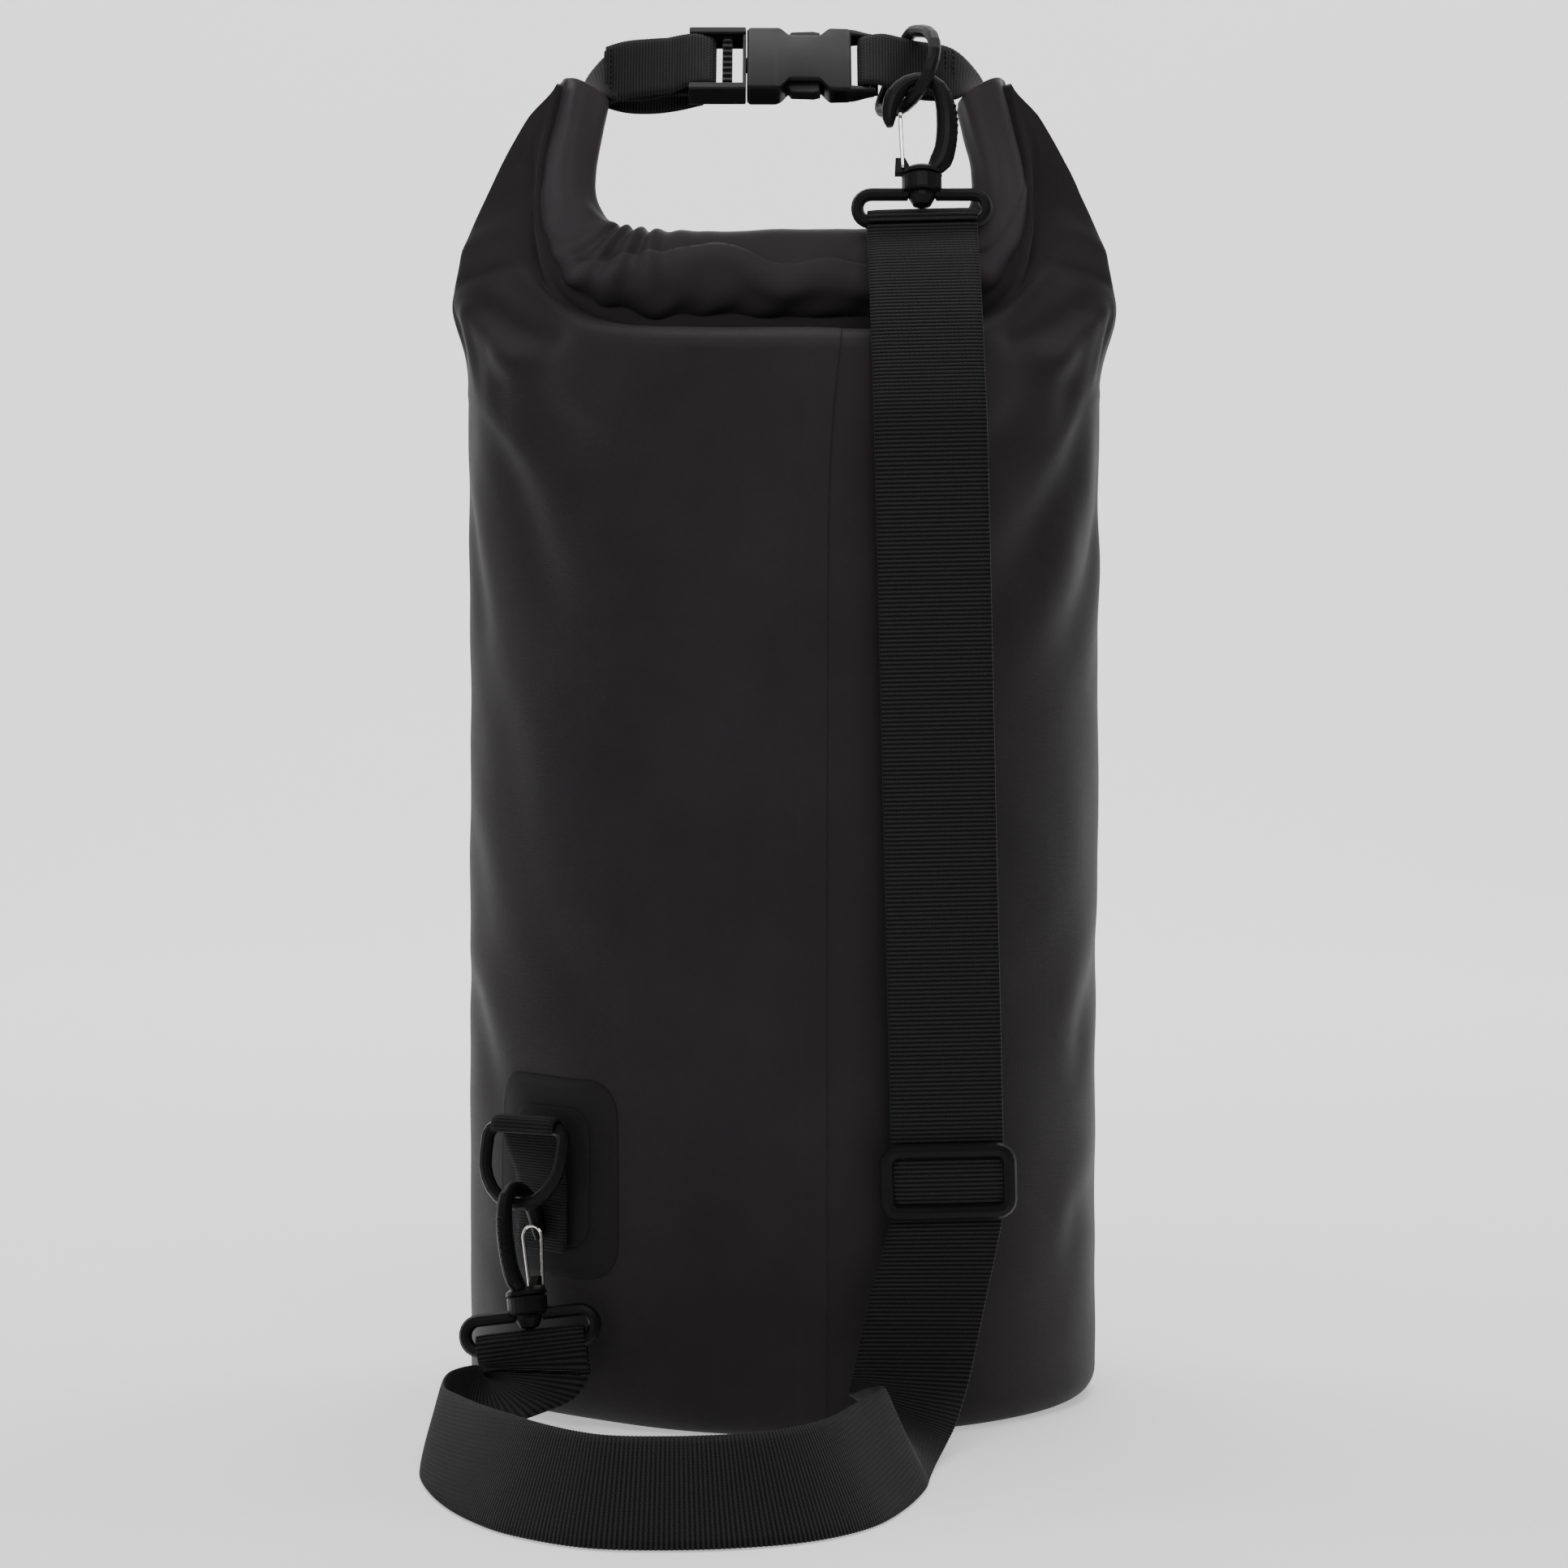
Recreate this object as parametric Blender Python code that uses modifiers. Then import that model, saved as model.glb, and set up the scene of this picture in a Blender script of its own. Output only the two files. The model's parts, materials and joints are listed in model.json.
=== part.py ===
"""Roll-top dry bag with a buckled carrying handle and a removable shoulder strap.

Metres, +Z up.  The origin is the centre of the base on the floor, the front faces -Y.
"""
import math

import bmesh
import bpy
from mathutils import Matrix, Vector

# ---- driving dimensions -------------------------------------------------------------------
GAP = 0.0003                 # clearance between pieces that touch

BAG_RADIUS = 0.113
WALL = 0.0012                # coated fabric
BASE_ROUNDING = 0.012
SHOULDER_FRONT = 0.336       # height where the upright wall ends, at the front
SHOULDER_BACK = 0.325
CORNER_REACH = 0.1190        # the pointed side corners stand out to here
CORNER_HEIGHT = 0.390

ROLL_SECTION_LOW = (0.0170, 0.0120)    # half sizes across the flat roll, where it lies level
ROLL_SECTION_TOP = (0.0155, 0.0085)    # and at its two upturned ends
ROLL_TWIST = math.radians(78)          # the flat roll turns this far between the two
RIM_MARGIN = 0.0019                    # bag rim outside the roll
# right half of the roll's centre line
ROLL_LINE = [(0.0, -0.0400, 0.3995), (0.030, -0.0400, 0.3995), (0.052, -0.0395, 0.4000),
             (0.0665, -0.0370, 0.4060), (0.0755, -0.0330, 0.4200), (0.0760, -0.0280, 0.4370),
             (0.0730, -0.0240, 0.4530), (0.0700, -0.0220, 0.4655)]
SLOT_SIZE = (0.0135, 0.0026)           # half sizes of the space inside the roll
STIFFENER = (0.0110, 0.0004)           # half sizes of each stiffening strip
FLAT_STEPS = 6                         # pieces across the roll's flat sections, so they twist smoothly

WEBBING_WIDTH = 0.025
WEBBING_THICK = 0.0014
WEBBING_TILT = math.radians(32)        # closure webbing's lean between the roll and the buckle
STRAP_WIDTH = 0.038
STRAP_THICK = 0.0014

BUCKLE_PLACE = Vector((0.0, -0.0253, 0.4748))
BUCKLE_TILT = math.radians(45)
BUCKLE_HALF = 0.0165                   # half width across the rails
BUCKLE_THICK = 0.0080
BUCKLE_BAR = 0.0016                    # reach of a webbing bar's corners from its middle
MALE_LEFT, MALE_RIGHT = -0.0336, -0.0134
FEMALE_LEFT, FEMALE_RIGHT = -0.0131, 0.0322
PRONG_ROOT = -0.0100

RING_HALF = 0.0155                     # half length of the ring's straight bar, centre line
RING_DEPTH = 0.0270
RING_ROD = 0.0023
UPPER_RING_PLACE = Vector((0.0451, -0.0288, 0.4726))
UPPER_RING_LONG = Vector((0.36, 0.12, 0.92))
UPPER_RING_DEEP = Vector((0.42, -0.88, -0.10))

UPPER_SWIVEL = Vector((0.0482, -0.0494, 0.4314))
UPPER_AXIS = Vector((0.0, 0.342, 0.940))
UPPER_ACROSS = Vector((1.0, 0.0, 0.0))
LOWER_SWIVEL = Vector((-0.0885, -0.0982, 0.0444))
LOWER_AXIS = Vector((-0.11, 0.18, 0.977))
LOWER_ACROSS = Vector((0.995, -0.10, 0.0))
LOWER_HOOK_ACROSS = Vector((-0.51, -0.86, 0.0))

BARREL_RADIUS = 0.0070
BARREL_HEIGHT = 0.0064
BARREL_BORE = 0.0034
SHAFT_RADIUS = 0.0033
LOOP_HALF = (0.0226, 0.0053)           # strap loop of the swivel base, centre line
LOOP_DROP = 0.0088                     # loop centre below the barrel's centre
LOOP_ROD = 0.0023
GATE_WIRE = 0.0006
GATE_PIVOT = (-0.0066, 0.0060)

LOWER_RING_PLACE = Vector((-0.0890, -0.0864, 0.1044))
LOWER_RING_TURN = math.radians(-30)
LOWER_RING_TILT = math.radians(14)

PATCH_AZIMUTH = math.radians(-46)      # from -Y towards -X
PATCH_HEIGHT = 0.087
PATCH_OUTER = (0.062, 0.069)
PATCH_INNER = (0.038, 0.048)
PATCH_THICK = 0.0006

SLIDER_PLACE = Vector((0.0560, -0.1150, 0.0896))
SLIDER_SIZE = (0.0470, 0.0262)
SLIDER_LEAN = 0.024                    # sideways drift of the hanging strap for each metre down
SLIDER_BAR = 0.0026
STRAP_FRONT_Y = -0.1150
STRAP_BACK_Y = -0.1124
BEND_HEIGHT = 0.336                    # the strap hangs straight below this height

# ---- scene --------------------------------------------------------------------------------
for old in list(bpy.data.objects):
    bpy.data.objects.remove(old, do_unlink=True)

parts = bpy.data.collections.new("rope_storage_bag")
cutters = bpy.data.collections.new("cutters")
bpy.context.scene.collection.children.link(parts)
bpy.context.scene.collection.children.link(cutters)


def finish_material(name, colour, roughness, metallic=0.0):
    made = bpy.data.materials.new(name)
    made.use_nodes = True
    shader = made.node_tree.nodes["Principled BSDF"]
    shader.inputs["Base Color"].default_value = (*colour, 1.0)
    shader.inputs["Roughness"].default_value = roughness
    shader.inputs["Metallic"].default_value = metallic
    return made


COATED = ((0.020, 0.019, 0.021), 0.55)
WOVEN = ((0.008, 0.008, 0.008), 0.85)
PLASTIC = ((0.012, 0.012, 0.013), 0.38)
STEEL = ((0.75, 0.75, 0.74), 0.22, 1.0)


def add_part(name, mesh, look, parent=None, smooth=40):
    """Link a mesh as a named part with its own material."""
    part = bpy.data.objects.new(name, mesh)
    mesh.materials.clear()
    mesh.materials.append(finish_material(name + "_finish", *look))
    parts.objects.link(part)
    part.parent = parent
    if smooth:
        mesh.shade_smooth()
        mesh.set_sharp_from_angle(angle=math.radians(smooth))
    return part


def add_cutter(name, mesh, parent=None):
    cutter = bpy.data.objects.new(name, mesh)
    cutters.objects.link(cutter)
    cutter.parent = parent
    cutter.hide_render = True
    cutter.display_type = "WIRE"
    return cutter


def combine(part, tool, operation):
    """Join a hidden tool to a part, or cut it away, with an exact Boolean."""
    step = part.modifiers.new(operation.lower() + "_" + tool.name, "BOOLEAN")
    step.object = tool
    step.operation = operation
    step.solver = "EXACT"


def add_frame(name, place, across, axis):
    """Empty with +X along `across` and +Z along `axis`."""
    up = axis.normalized()
    side = (across - up * across.dot(up)).normalized()
    empty = bpy.data.objects.new(name, None)
    parts.objects.link(empty)
    turn = Matrix((side, up.cross(side), up)).transposed()
    empty.matrix_world = Matrix.Translation(place) @ turn.to_4x4()
    return empty


# ---- mesh helpers -------------------------------------------------------------------------
def mesh_from(name, bm):
    bmesh.ops.recalc_face_normals(bm, faces=bm.faces)
    mesh = bpy.data.meshes.new(name)
    bm.to_mesh(mesh)
    bm.free()
    return mesh


def loft(name, rings, closed=False):
    """Skin a row of equal rings, capping both ends unless the row is closed."""
    bm = bmesh.new()
    rows = [[bm.verts.new(point) for point in ring] for ring in rings]
    count = len(rows[0])
    pairs = list(zip(rows, rows[1:]))
    if closed:
        pairs.append((rows[-1], rows[0]))
    for low, high in pairs:
        for i in range(count):
            j = (i + 1) % count
            bm.faces.new((low[i], low[j], high[j], high[i]))
    if not closed:
        bm.faces.new(rows[0])
        bm.faces.new(rows[-1])
    return mesh_from(name, bm)


def open_tube(name, outer, inner):
    """Skin between outer and inner rows of rings: a tube open at both ends."""
    return loft(name, outer + inner[::-1], closed=True)


def box_mesh(name, low, high, bevel=0.0):
    bm = bmesh.new()
    bmesh.ops.create_cube(bm, size=1.0)
    low, high = Vector(low), Vector(high)
    for vert in bm.verts:
        vert.co = Vector(((high[k] + low[k]) / 2 + vert.co[k] * (high[k] - low[k]) for k in range(3)))
    if bevel:
        bmesh.ops.bevel(bm, geom=list(bm.edges), offset=bevel, segments=2, affect="EDGES", profile=0.5)
    return mesh_from(name, bm)


def rod_mesh(name, start, end, radius, sides=16):
    """Cylinder between two points."""
    start, end = Vector(start), Vector(end)
    bm = bmesh.new()
    bmesh.ops.create_cone(bm, cap_ends=True, segments=sides, radius1=radius, radius2=radius,
                          depth=(end - start).length)
    turn = (end - start).to_track_quat("Z", "Y").to_matrix().to_4x4()
    bmesh.ops.transform(bm, matrix=Matrix.Translation((start + end) / 2) @ turn, verts=bm.verts)
    return mesh_from(name, bm)


def spline_points(points, steps):
    """Catmull-Rom curve through the points, `steps` spans between each pair."""
    points = [Vector(p) for p in points]
    first = points[0] * 2 - points[1]
    last = points[-1] * 2 - points[-2]
    line = [first] + points + [last]
    made = []
    for a, b, c, d in zip(line, line[1:], line[2:], line[3:]):
        for k in range(steps):
            t = k / steps
            made.append(0.5 * (2 * b + (c - a) * t + (2 * a - 5 * b + 4 * c - d) * t * t
                               + (3 * b - a - 3 * c + d) * t ** 3))
    made.append(points[-1])
    return made


def wire_mesh(name, points, radius, cyclic=False, sides=2):
    """Round wire along points, from a bevelled curve."""
    curve = bpy.data.curves.new(name, "CURVE")
    curve.dimensions = "3D"
    curve.bevel_depth = radius
    curve.bevel_resolution = sides
    curve.use_fill_caps = not cyclic
    spline = curve.splines.new("POLY")
    spline.points.add(len(points) - 1)
    for slot, point in zip(spline.points, points):
        slot.co = (*point, 1.0)
    spline.use_cyclic_u = cyclic
    holder = bpy.data.objects.new(name, curve)
    parts.objects.link(holder)
    bpy.context.view_layer.update()
    mesh = bpy.data.meshes.new_from_object(holder.evaluated_get(bpy.context.evaluated_depsgraph_get()))
    bpy.data.objects.remove(holder)
    bm = bmesh.new()
    bm.from_mesh(mesh)
    bmesh.ops.remove_doubles(bm, verts=bm.verts, dist=0.00001)
    return mesh_from(name, bm)


def turned_mesh(name, profile, sides=32):
    """Closed profile of (radius, height) turned about Z."""
    bm = bmesh.new()
    rows = []
    for k in range(sides):
        angle = math.tau * k / sides
        rows.append([Vector((r * math.cos(angle), r * math.sin(angle), z)) for r, z in profile])
    grid = [[bm.verts.new(p) for p in row] for row in rows]
    for k in range(sides):
        low, high = grid[k], grid[(k + 1) % sides]
        for i in range(len(profile) - 1):
            bm.faces.new((low[i], low[i + 1], high[i + 1], high[i]))
    bmesh.ops.remove_doubles(bm, verts=bm.verts, dist=0.000001)
    bmesh.ops.dissolve_degenerate(bm, edges=bm.edges, dist=0.000001)
    return mesh_from(name, bm)


def ribbon(name, left, right, thick, steps=3):
    """Flat strap between a left and a right edge line."""
    left, right = spline_points(left, steps), spline_points(right, steps)
    middle = [(a + b) / 2 for a, b in zip(left, right)]
    rings = []
    for i, (a, b) in enumerate(zip(left, right)):
        ahead = middle[min(i + 1, len(middle) - 1)] - middle[max(i - 1, 0)]
        lift = (b - a).cross(ahead).normalized() * thick / 2
        rings.append([a - lift, b - lift, b + lift, a + lift])
    return loft(name, rings)


def band(name, line, across, width, thick, steps=1):
    """Flat strap of constant width along a centre line."""
    half = [direction.normalized() * width / 2 for direction in across]
    left = [Vector(p) - h for p, h in zip(line, half)]
    right = [Vector(p) + h for p, h in zip(line, half)]
    return ribbon(name, left, right, thick, steps)


def arc(centre, radius, start, end, steps):
    """Points on a circle in a plane, angles in degrees."""
    turns = [math.radians(start + (end - start) * k / steps) for k in range(steps + 1)]
    return [(centre[0] + radius * math.cos(a), centre[1] + radius * math.sin(a)) for a in turns]


# ---- the rolled mouth ---------------------------------------------------------------------
def roll_stations(steps=3):
    """Centre points, frames and section sizes along the whole roll, left end to right end."""
    right = spline_points(ROLL_LINE, steps)
    line = [Vector((-p.x, p.y, p.z)) for p in right[:0:-1]] + right
    lengths = [0.0]
    for a, b in zip(line, line[1:]):
        lengths.append(lengths[-1] + (b - a).length)
    half = lengths[-1] / 2
    stations = []
    for i, centre in enumerate(line):
        ahead = (line[min(i + 1, len(line) - 1)] - line[max(i - 1, 0)]).normalized()
        depth = Vector((0, 1, 0)) - ahead * ahead.y
        depth.normalize()
        outward = depth.cross(ahead)
        share = abs(lengths[i] - half) / half
        share = min(max((share - 0.25) / 0.5, 0.0), 1.0)
        share = share * share * (3 - 2 * share)
        turn = ROLL_TWIST * share
        wide = outward * math.cos(turn) + depth * math.sin(turn)
        thin = depth * math.cos(turn) - outward * math.sin(turn)
        size = [low + (top - low) * share for low, top in zip(ROLL_SECTION_LOW, ROLL_SECTION_TOP)]
        stations.append((centre, outward, depth, wide, thin, size, share))
    return stations


ROLL = roll_stations()


def roll_ring(station):
    """Rounded section of the roll, two rows of FLAT_STEPS + 1 points."""
    centre, wide, thin, size = station[0], station[3], station[4], station[5]
    ring = []
    for k in range(2 * FLAT_STEPS + 2):
        a = math.tau * (k + 0.5) / (2 * FLAT_STEPS + 2)
        c, s = math.cos(a), math.sin(a)
        ring.append(centre + wide * (size[0] * math.copysign(abs(c) ** 0.85, c))
                    + thin * (size[1] * math.copysign(abs(s) ** 0.85, s)))
    return ring


def flat_ring(station, wide_half, thin_half, shift=0.0):
    """Rectangular section in the roll's frame, each long side in FLAT_STEPS pieces."""
    centre, wide, thin = station[0], station[3], station[4]
    ring = []
    for side in (1, -1):
        for k in range(FLAT_STEPS + 1):
            across = wide_half * side * (1 - 2 * k / FLAT_STEPS)
            ring.append(centre + wide * across + thin * (shift + thin_half * side))
    return ring


def make_roll():
    outer = [roll_ring(s) for s in ROLL]
    inner = [flat_ring(s, *SLOT_SIZE) for s in ROLL]
    add_part("mouth_roll", open_tube("mouth_roll", outer, inner), COATED)
    spacing = (SLOT_SIZE[1] + WEBBING_THICK / 2) / 2
    for name, side in (("mouth_stiffener_front", -1), ("mouth_stiffener_back", 1)):
        rings = [flat_ring(s, *STIFFENER, side * spacing) for s in ROLL[1:-1]]
        add_part(name, loft(name, rings), ((0.05, 0.05, 0.05), 0.5))


# ---- bag ----------------------------------------------------------------------------------
def rim_point(share, front):
    """Point on the bag's rim, right half: share 0 at the middle, 1 at the side fold."""
    half = ROLL[len(ROLL) // 2:]
    place = share * (len(half) - 1)
    k = min(int(place), len(half) - 2)
    t = place - k
    found = []
    for s in half[k:k + 2]:
        turn = ROLL_TWIST * s[6]
        reach = math.hypot(s[5][0] * math.cos(turn), s[5][1] * math.sin(turn)) + RIM_MARGIN
        deep = 0.0120 * (1 - s[6]) + 0.0055 * s[6]
        found.append(s[0] + s[1] * reach + s[2] * (-deep if front else deep))
    return found[0].lerp(found[1], t)


def wall_rings(count=56, rise=8):
    """Rings of the bag's outer surface from the floor edge up to the rim."""
    rings = []
    for height in (BASE_ROUNDING + GAP, 0.090, 0.170, 0.250):
        rings.append([Vector((BAG_RADIUS * math.sin(math.tau * k / count),
                              -BAG_RADIUS * math.cos(math.tau * k / count), height)) for k in range(count)])
    for step in range(rise + 1):
        u = step / rise
        ring = []
        for k in range(count):
            angle = math.tau * k / count
            x, y = math.sin(angle), -math.cos(angle)
            side = abs(x) ** 3
            share = math.acos(max(-1, min(1, abs(y)))) / (math.pi / 2)
            start = Vector((BAG_RADIUS * x, BAG_RADIUS * y, SHOULDER_FRONT if y < 0 else SHOULDER_BACK))
            if abs(y) < 0.3:
                blend = (y + 0.3) / 0.6
                start.z = SHOULDER_FRONT + (SHOULDER_BACK - SHOULDER_FRONT) * blend * blend * (3 - 2 * blend)
            end = rim_point(share, y < 0)
            end.x = math.copysign(end.x, x)
            if abs(x) > 0.9999:
                end.y = (rim_point(1, True).y + rim_point(1, False).y) / 2
            if abs(x) < 0.0001:
                end.x = 0.0
            middle = Vector((CORNER_REACH * math.copysign(abs(x) ** 0.9, x),
                             (0.086 if y < 0 else 0.084) * y * (1 - side * 0.65) - 0.010 * side,
                             0.370 + (CORNER_HEIGHT - 0.370) * side))
            if u <= 0.5:
                t = u * 2
                lift = Vector((0, 0, 0.020))
                ring.append(hermite(start, middle, lift, (end - start) * 0.35, t))
            else:
                t = u * 2 - 1
                ring.append(hermite(middle, end, (end - start) * 0.35, (end - middle) * 0.9, t))
        rings.append(ring)
    return rings


def hermite(a, b, leave, arrive, t):
    return (a * (2 * t ** 3 - 3 * t * t + 1) + leave * (t ** 3 - 2 * t * t + t)
            + b * (3 * t * t - 2 * t ** 3) + arrive * (t ** 3 - t * t))


def make_bag():
    rings = wall_rings()
    bm = bmesh.new()
    grid = [[bm.verts.new(p) for p in ring] for ring in rings]
    count = len(rings[0])
    for low, high in zip(grid, grid[1:]):
        for i in range(count):
            j = (i + 1) % count
            bm.faces.new((low[i], low[j], high[j], high[i]))
    wall = add_part("bag_wall", mesh_from("bag_wall", bm), COATED)
    shell = wall.modifiers.new("thickness", "SOLIDIFY")
    shell.thickness = WALL
    shell.offset = -1.0

    outer = [(0.0, 0.0)] + arc((BAG_RADIUS - BASE_ROUNDING, BASE_ROUNDING), BASE_ROUNDING, -90, 0, 4)
    inner = arc((BAG_RADIUS - BASE_ROUNDING, BASE_ROUNDING), BASE_ROUNDING - WALL, 0, -90, 4) + [(0.0, WALL)]
    add_part("bag_base", turned_mesh("bag_base", outer + inner, 56), COATED)


# ---- closure webbing ----------------------------------------------------------------------
def make_closure_webbing():
    """Each webbing leaves the roll's end, turns level and wraps a bar of the buckle."""
    tilt = Vector((0, -math.cos(BUCKLE_TILT), -math.sin(BUCKLE_TILT)))
    steep = Vector((0, -math.sin(WEBBING_TILT), -math.cos(WEBBING_TILT)))
    face = Vector((0, -math.sin(BUCKLE_TILT), math.cos(BUCKLE_TILT)))
    half = BUCKLE_BAR + GAP + WEBBING_THICK / 2
    for name, side, bar, tail in (("closure_webbing_left", -1, -0.0272, 0.014),
                                  ("closure_webbing_right", 1, 0.0292, 0.004)):
        mirror = Vector((side, 1, 1))
        line = [ROLL[k][0] * mirror for k in (-4, -2, -1)]
        across = [-(ROLL[k][3] * mirror) for k in (-4, -2, -1)]
        line += [Vector((0.0665 * side, -0.0225, 0.4715)), Vector((0.0595 * side, -0.0235, 0.4748)),
                 BUCKLE_PLACE + Vector((0.0455 * side, 0, -0.0012))]
        across += [across[-1].lerp(steep, 0.4), across[-1].lerp(steep, 0.85), steep]
        inward = Vector((-side, 0, 0))
        centre = BUCKLE_PLACE + Vector((bar, 0, 0))
        line.append(centre - inward * 0.006 + face * half)
        for k in range(7):
            a = math.pi * k / 6
            line.append(centre + (face * math.cos(a) + inward * math.sin(a)) * half)
        line.append(centre - inward * tail - face * (half + 0.0004))
        across += [tilt.lerp(steep, 0.4)] + [tilt] * 8
        add_part(name, band(name, line, across, WEBBING_WIDTH, WEBBING_THICK, 3), WOVEN)


# ---- side-release buckle, drawn flat: +X along the webbing, +Z its face --------------------
def plate_mesh(name, outlines, low, high, bevel=0.0):
    """Flat plate from outlines (the first is the edge, the others are holes)."""
    curve = bpy.data.curves.new(name, "CURVE")
    curve.dimensions = "2D"
    curve.fill_mode = "BOTH"
    curve.extrude = (high - low) / 2
    for outline in outlines:
        spline = curve.splines.new("POLY")
        spline.points.add(len(outline) - 1)
        for slot, (x, y) in zip(spline.points, outline):
            slot.co = (x, y, 0, 1)
        spline.use_cyclic_u = True
    holder = bpy.data.objects.new(name, curve)
    parts.objects.link(holder)
    bpy.context.view_layer.update()
    mesh = bpy.data.meshes.new_from_object(holder.evaluated_get(bpy.context.evaluated_depsgraph_get()))
    bpy.data.objects.remove(holder)
    bm = bmesh.new()
    bm.from_mesh(mesh)
    bmesh.ops.remove_doubles(bm, verts=bm.verts, dist=0.00001)
    bmesh.ops.dissolve_limit(bm, angle_limit=math.radians(1), verts=bm.verts, edges=bm.edges)
    bmesh.ops.translate(bm, verts=bm.verts, vec=(0, 0, (high + low) / 2))
    if bevel:
        flat = [e for e in bm.edges if abs(e.verts[0].co.z - e.verts[1].co.z) < 1e-6]
        bmesh.ops.bevel(bm, geom=flat, offset=bevel, segments=2, affect="EDGES", profile=0.5)
    return mesh_from(name, bm)


def rounded(x0, x1, y0, y1, r, steps=4):
    return (arc((x1 - r, y0 + r), r, -90, 0, steps) + arc((x1 - r, y1 - r), r, 0, 90, steps)
            + arc((x0 + r, y1 - r), r, 90, 180, steps) + arc((x0 + r, y0 + r), r, 180, 270, steps))


def make_buckle():
    frame = add_frame("buckle_frame", BUCKLE_PLACE, Vector((1, 0, 0)),
                      Vector((0, -math.sin(BUCKLE_TILT), math.cos(BUCKLE_TILT))))
    half, thick = BUCKLE_HALF, BUCKLE_THICK / 2
    rail = 0.0132
    # male half: two rails joined by a webbing bar, a ribbed bar and the guide's shoulder
    sides = [add_cutter("male_rail_upper", box_mesh("r", (MALE_LEFT, rail, -thick), (MALE_RIGHT, half, thick), 0.0006),
                        frame)]
    bars = ((-0.0285, -0.0259, 0.0013), (-0.0218, -0.0182, 0.0022), (-0.0146, MALE_RIGHT, 0.0034))
    for k, (x0, x1, high) in enumerate(bars):
        sides.append(add_cutter(f"male_bar_{k}", box_mesh("b", (x0, -rail - 0.001, -high), (x1, rail + 0.001, high),
                                                          0.0004), frame))
    sides.append(add_cutter("male_tongue", box_mesh("t", (-0.0145, -0.0026, -0.0016), (0.0120, 0.0026, 0.0016), 0.0004),
                            frame))
    male = add_part("buckle_male", box_mesh("m", (MALE_LEFT, -half, -thick), (MALE_RIGHT, -rail, thick), 0.0006),
                    PLASTIC, frame)
    for tool in sides:
        combine(male, tool, "UNION")

    # female half: a flat case with side windows and a pocket, and a webbing bar between two rails
    body_end = 0.0238
    female = add_part("buckle_female", box_mesh("f", (FEMALE_LEFT, -half, -thick), (body_end, half, thick), 0.0008),
                      PLASTIC, frame)
    bar = add_cutter("female_bar", box_mesh("b", (0.0279, -rail - 0.001, -0.0013), (0.0305, rail + 0.001, 0.0013),
                                            0.0003), frame)
    for k, side in enumerate((-1, 1)):
        low, high = sorted((side * rail, side * half))
        arm = box_mesh("a", (body_end - 0.004, low, -0.0028), (FEMALE_RIGHT, high, 0.0028), 0.0006)
        combine(female, add_cutter(f"female_rail_{k}", arm, frame), "UNION")
    combine(female, bar, "UNION")
    pocket = box_mesh("p", (FEMALE_LEFT - 0.002, -0.0138, -0.0024), (0.0190, 0.0138, 0.0024))
    combine(female, add_cutter("pocket", pocket, frame), "DIFFERENCE")
    for k, side in enumerate((-1, 1)):
        low, high = sorted((side * 0.0124, side * 0.0200))
        window = box_mesh("w", (0.0004, low, -0.0060), (0.0152, high, 0.0060))
        combine(female, add_cutter(f"window_{k}", window, frame), "DIFFERENCE")

    # prongs: sprung arms that end in the thumb pads at the windows
    for name, side in (("buckle_prong_upper", 1), ("buckle_prong_lower", -1)):
        pivot = Vector((PRONG_ROOT, 0.0090 * side, 0))
        arm = [(-0.0030, -0.0012), (0.0060, -0.0006), (0.0120, 0.0020), (0.0225, 0.0020), (0.0228, 0.0066),
               (0.0205, 0.0074), (0.0125, 0.0070), (0.0110, 0.0044), (0.0050, 0.0020), (-0.0030, 0.0012)]
        outline = [(x, y * side) for x, y in arm]
        prong = add_part(name, plate_mesh(name, [outline], -0.0019, 0.0019, 0.0004), PLASTIC, frame)
        prong.location = pivot


# ---- rings --------------------------------------------------------------------------------
def ring_outline():
    """D outline: straight bar along X at y 0, bow towards -Y."""
    corner = 0.0040
    line = arc((RING_HALF - corner, -corner), corner, 90, 0, 4)
    bow = RING_DEPTH - corner - 0.006
    for k in range(13):
        a = -math.pi * k / 12
        line.append((RING_HALF * math.cos(a), -corner - 0.006 + bow * math.sin(a)))
    return line + arc((-RING_HALF + corner, -corner), corner, 180, 90, 4)


def make_ring(name, frame):
    points = [(x, 0.0, y) for x, y in ring_outline()]
    add_part(name, wire_mesh(name, points, RING_ROD, cyclic=True, sides=3), PLASTIC, frame)


# ---- swivel snap hook, upright: +Z along its shaft, the gate at -X -------------------------
HOOK_LINE = [(0.0038, 0.0056), (0.0066, 0.0090), (0.0083, 0.0140), (0.0090, 0.0200), (0.0090, 0.0255),
             (0.0083, 0.0315), (0.0062, 0.0372), (0.0012, 0.0402), (-0.0046, 0.0390), (-0.0091, 0.0345),
             (-0.0109, 0.0292), (-0.0113, 0.0250), (-0.0110, 0.0222)]
HOOK_WIDE = [0.0026, 0.0040, 0.0038, 0.0038, 0.0037, 0.0034, 0.0029, 0.0025, 0.0029, 0.0033, 0.0029, 0.0023, 0.0012]
HOOK_DEEP = [0.0026, 0.0025, 0.0024, 0.0024, 0.0024, 0.0023, 0.0023, 0.0024, 0.0024, 0.0025, 0.0023, 0.0019, 0.0010]


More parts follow.
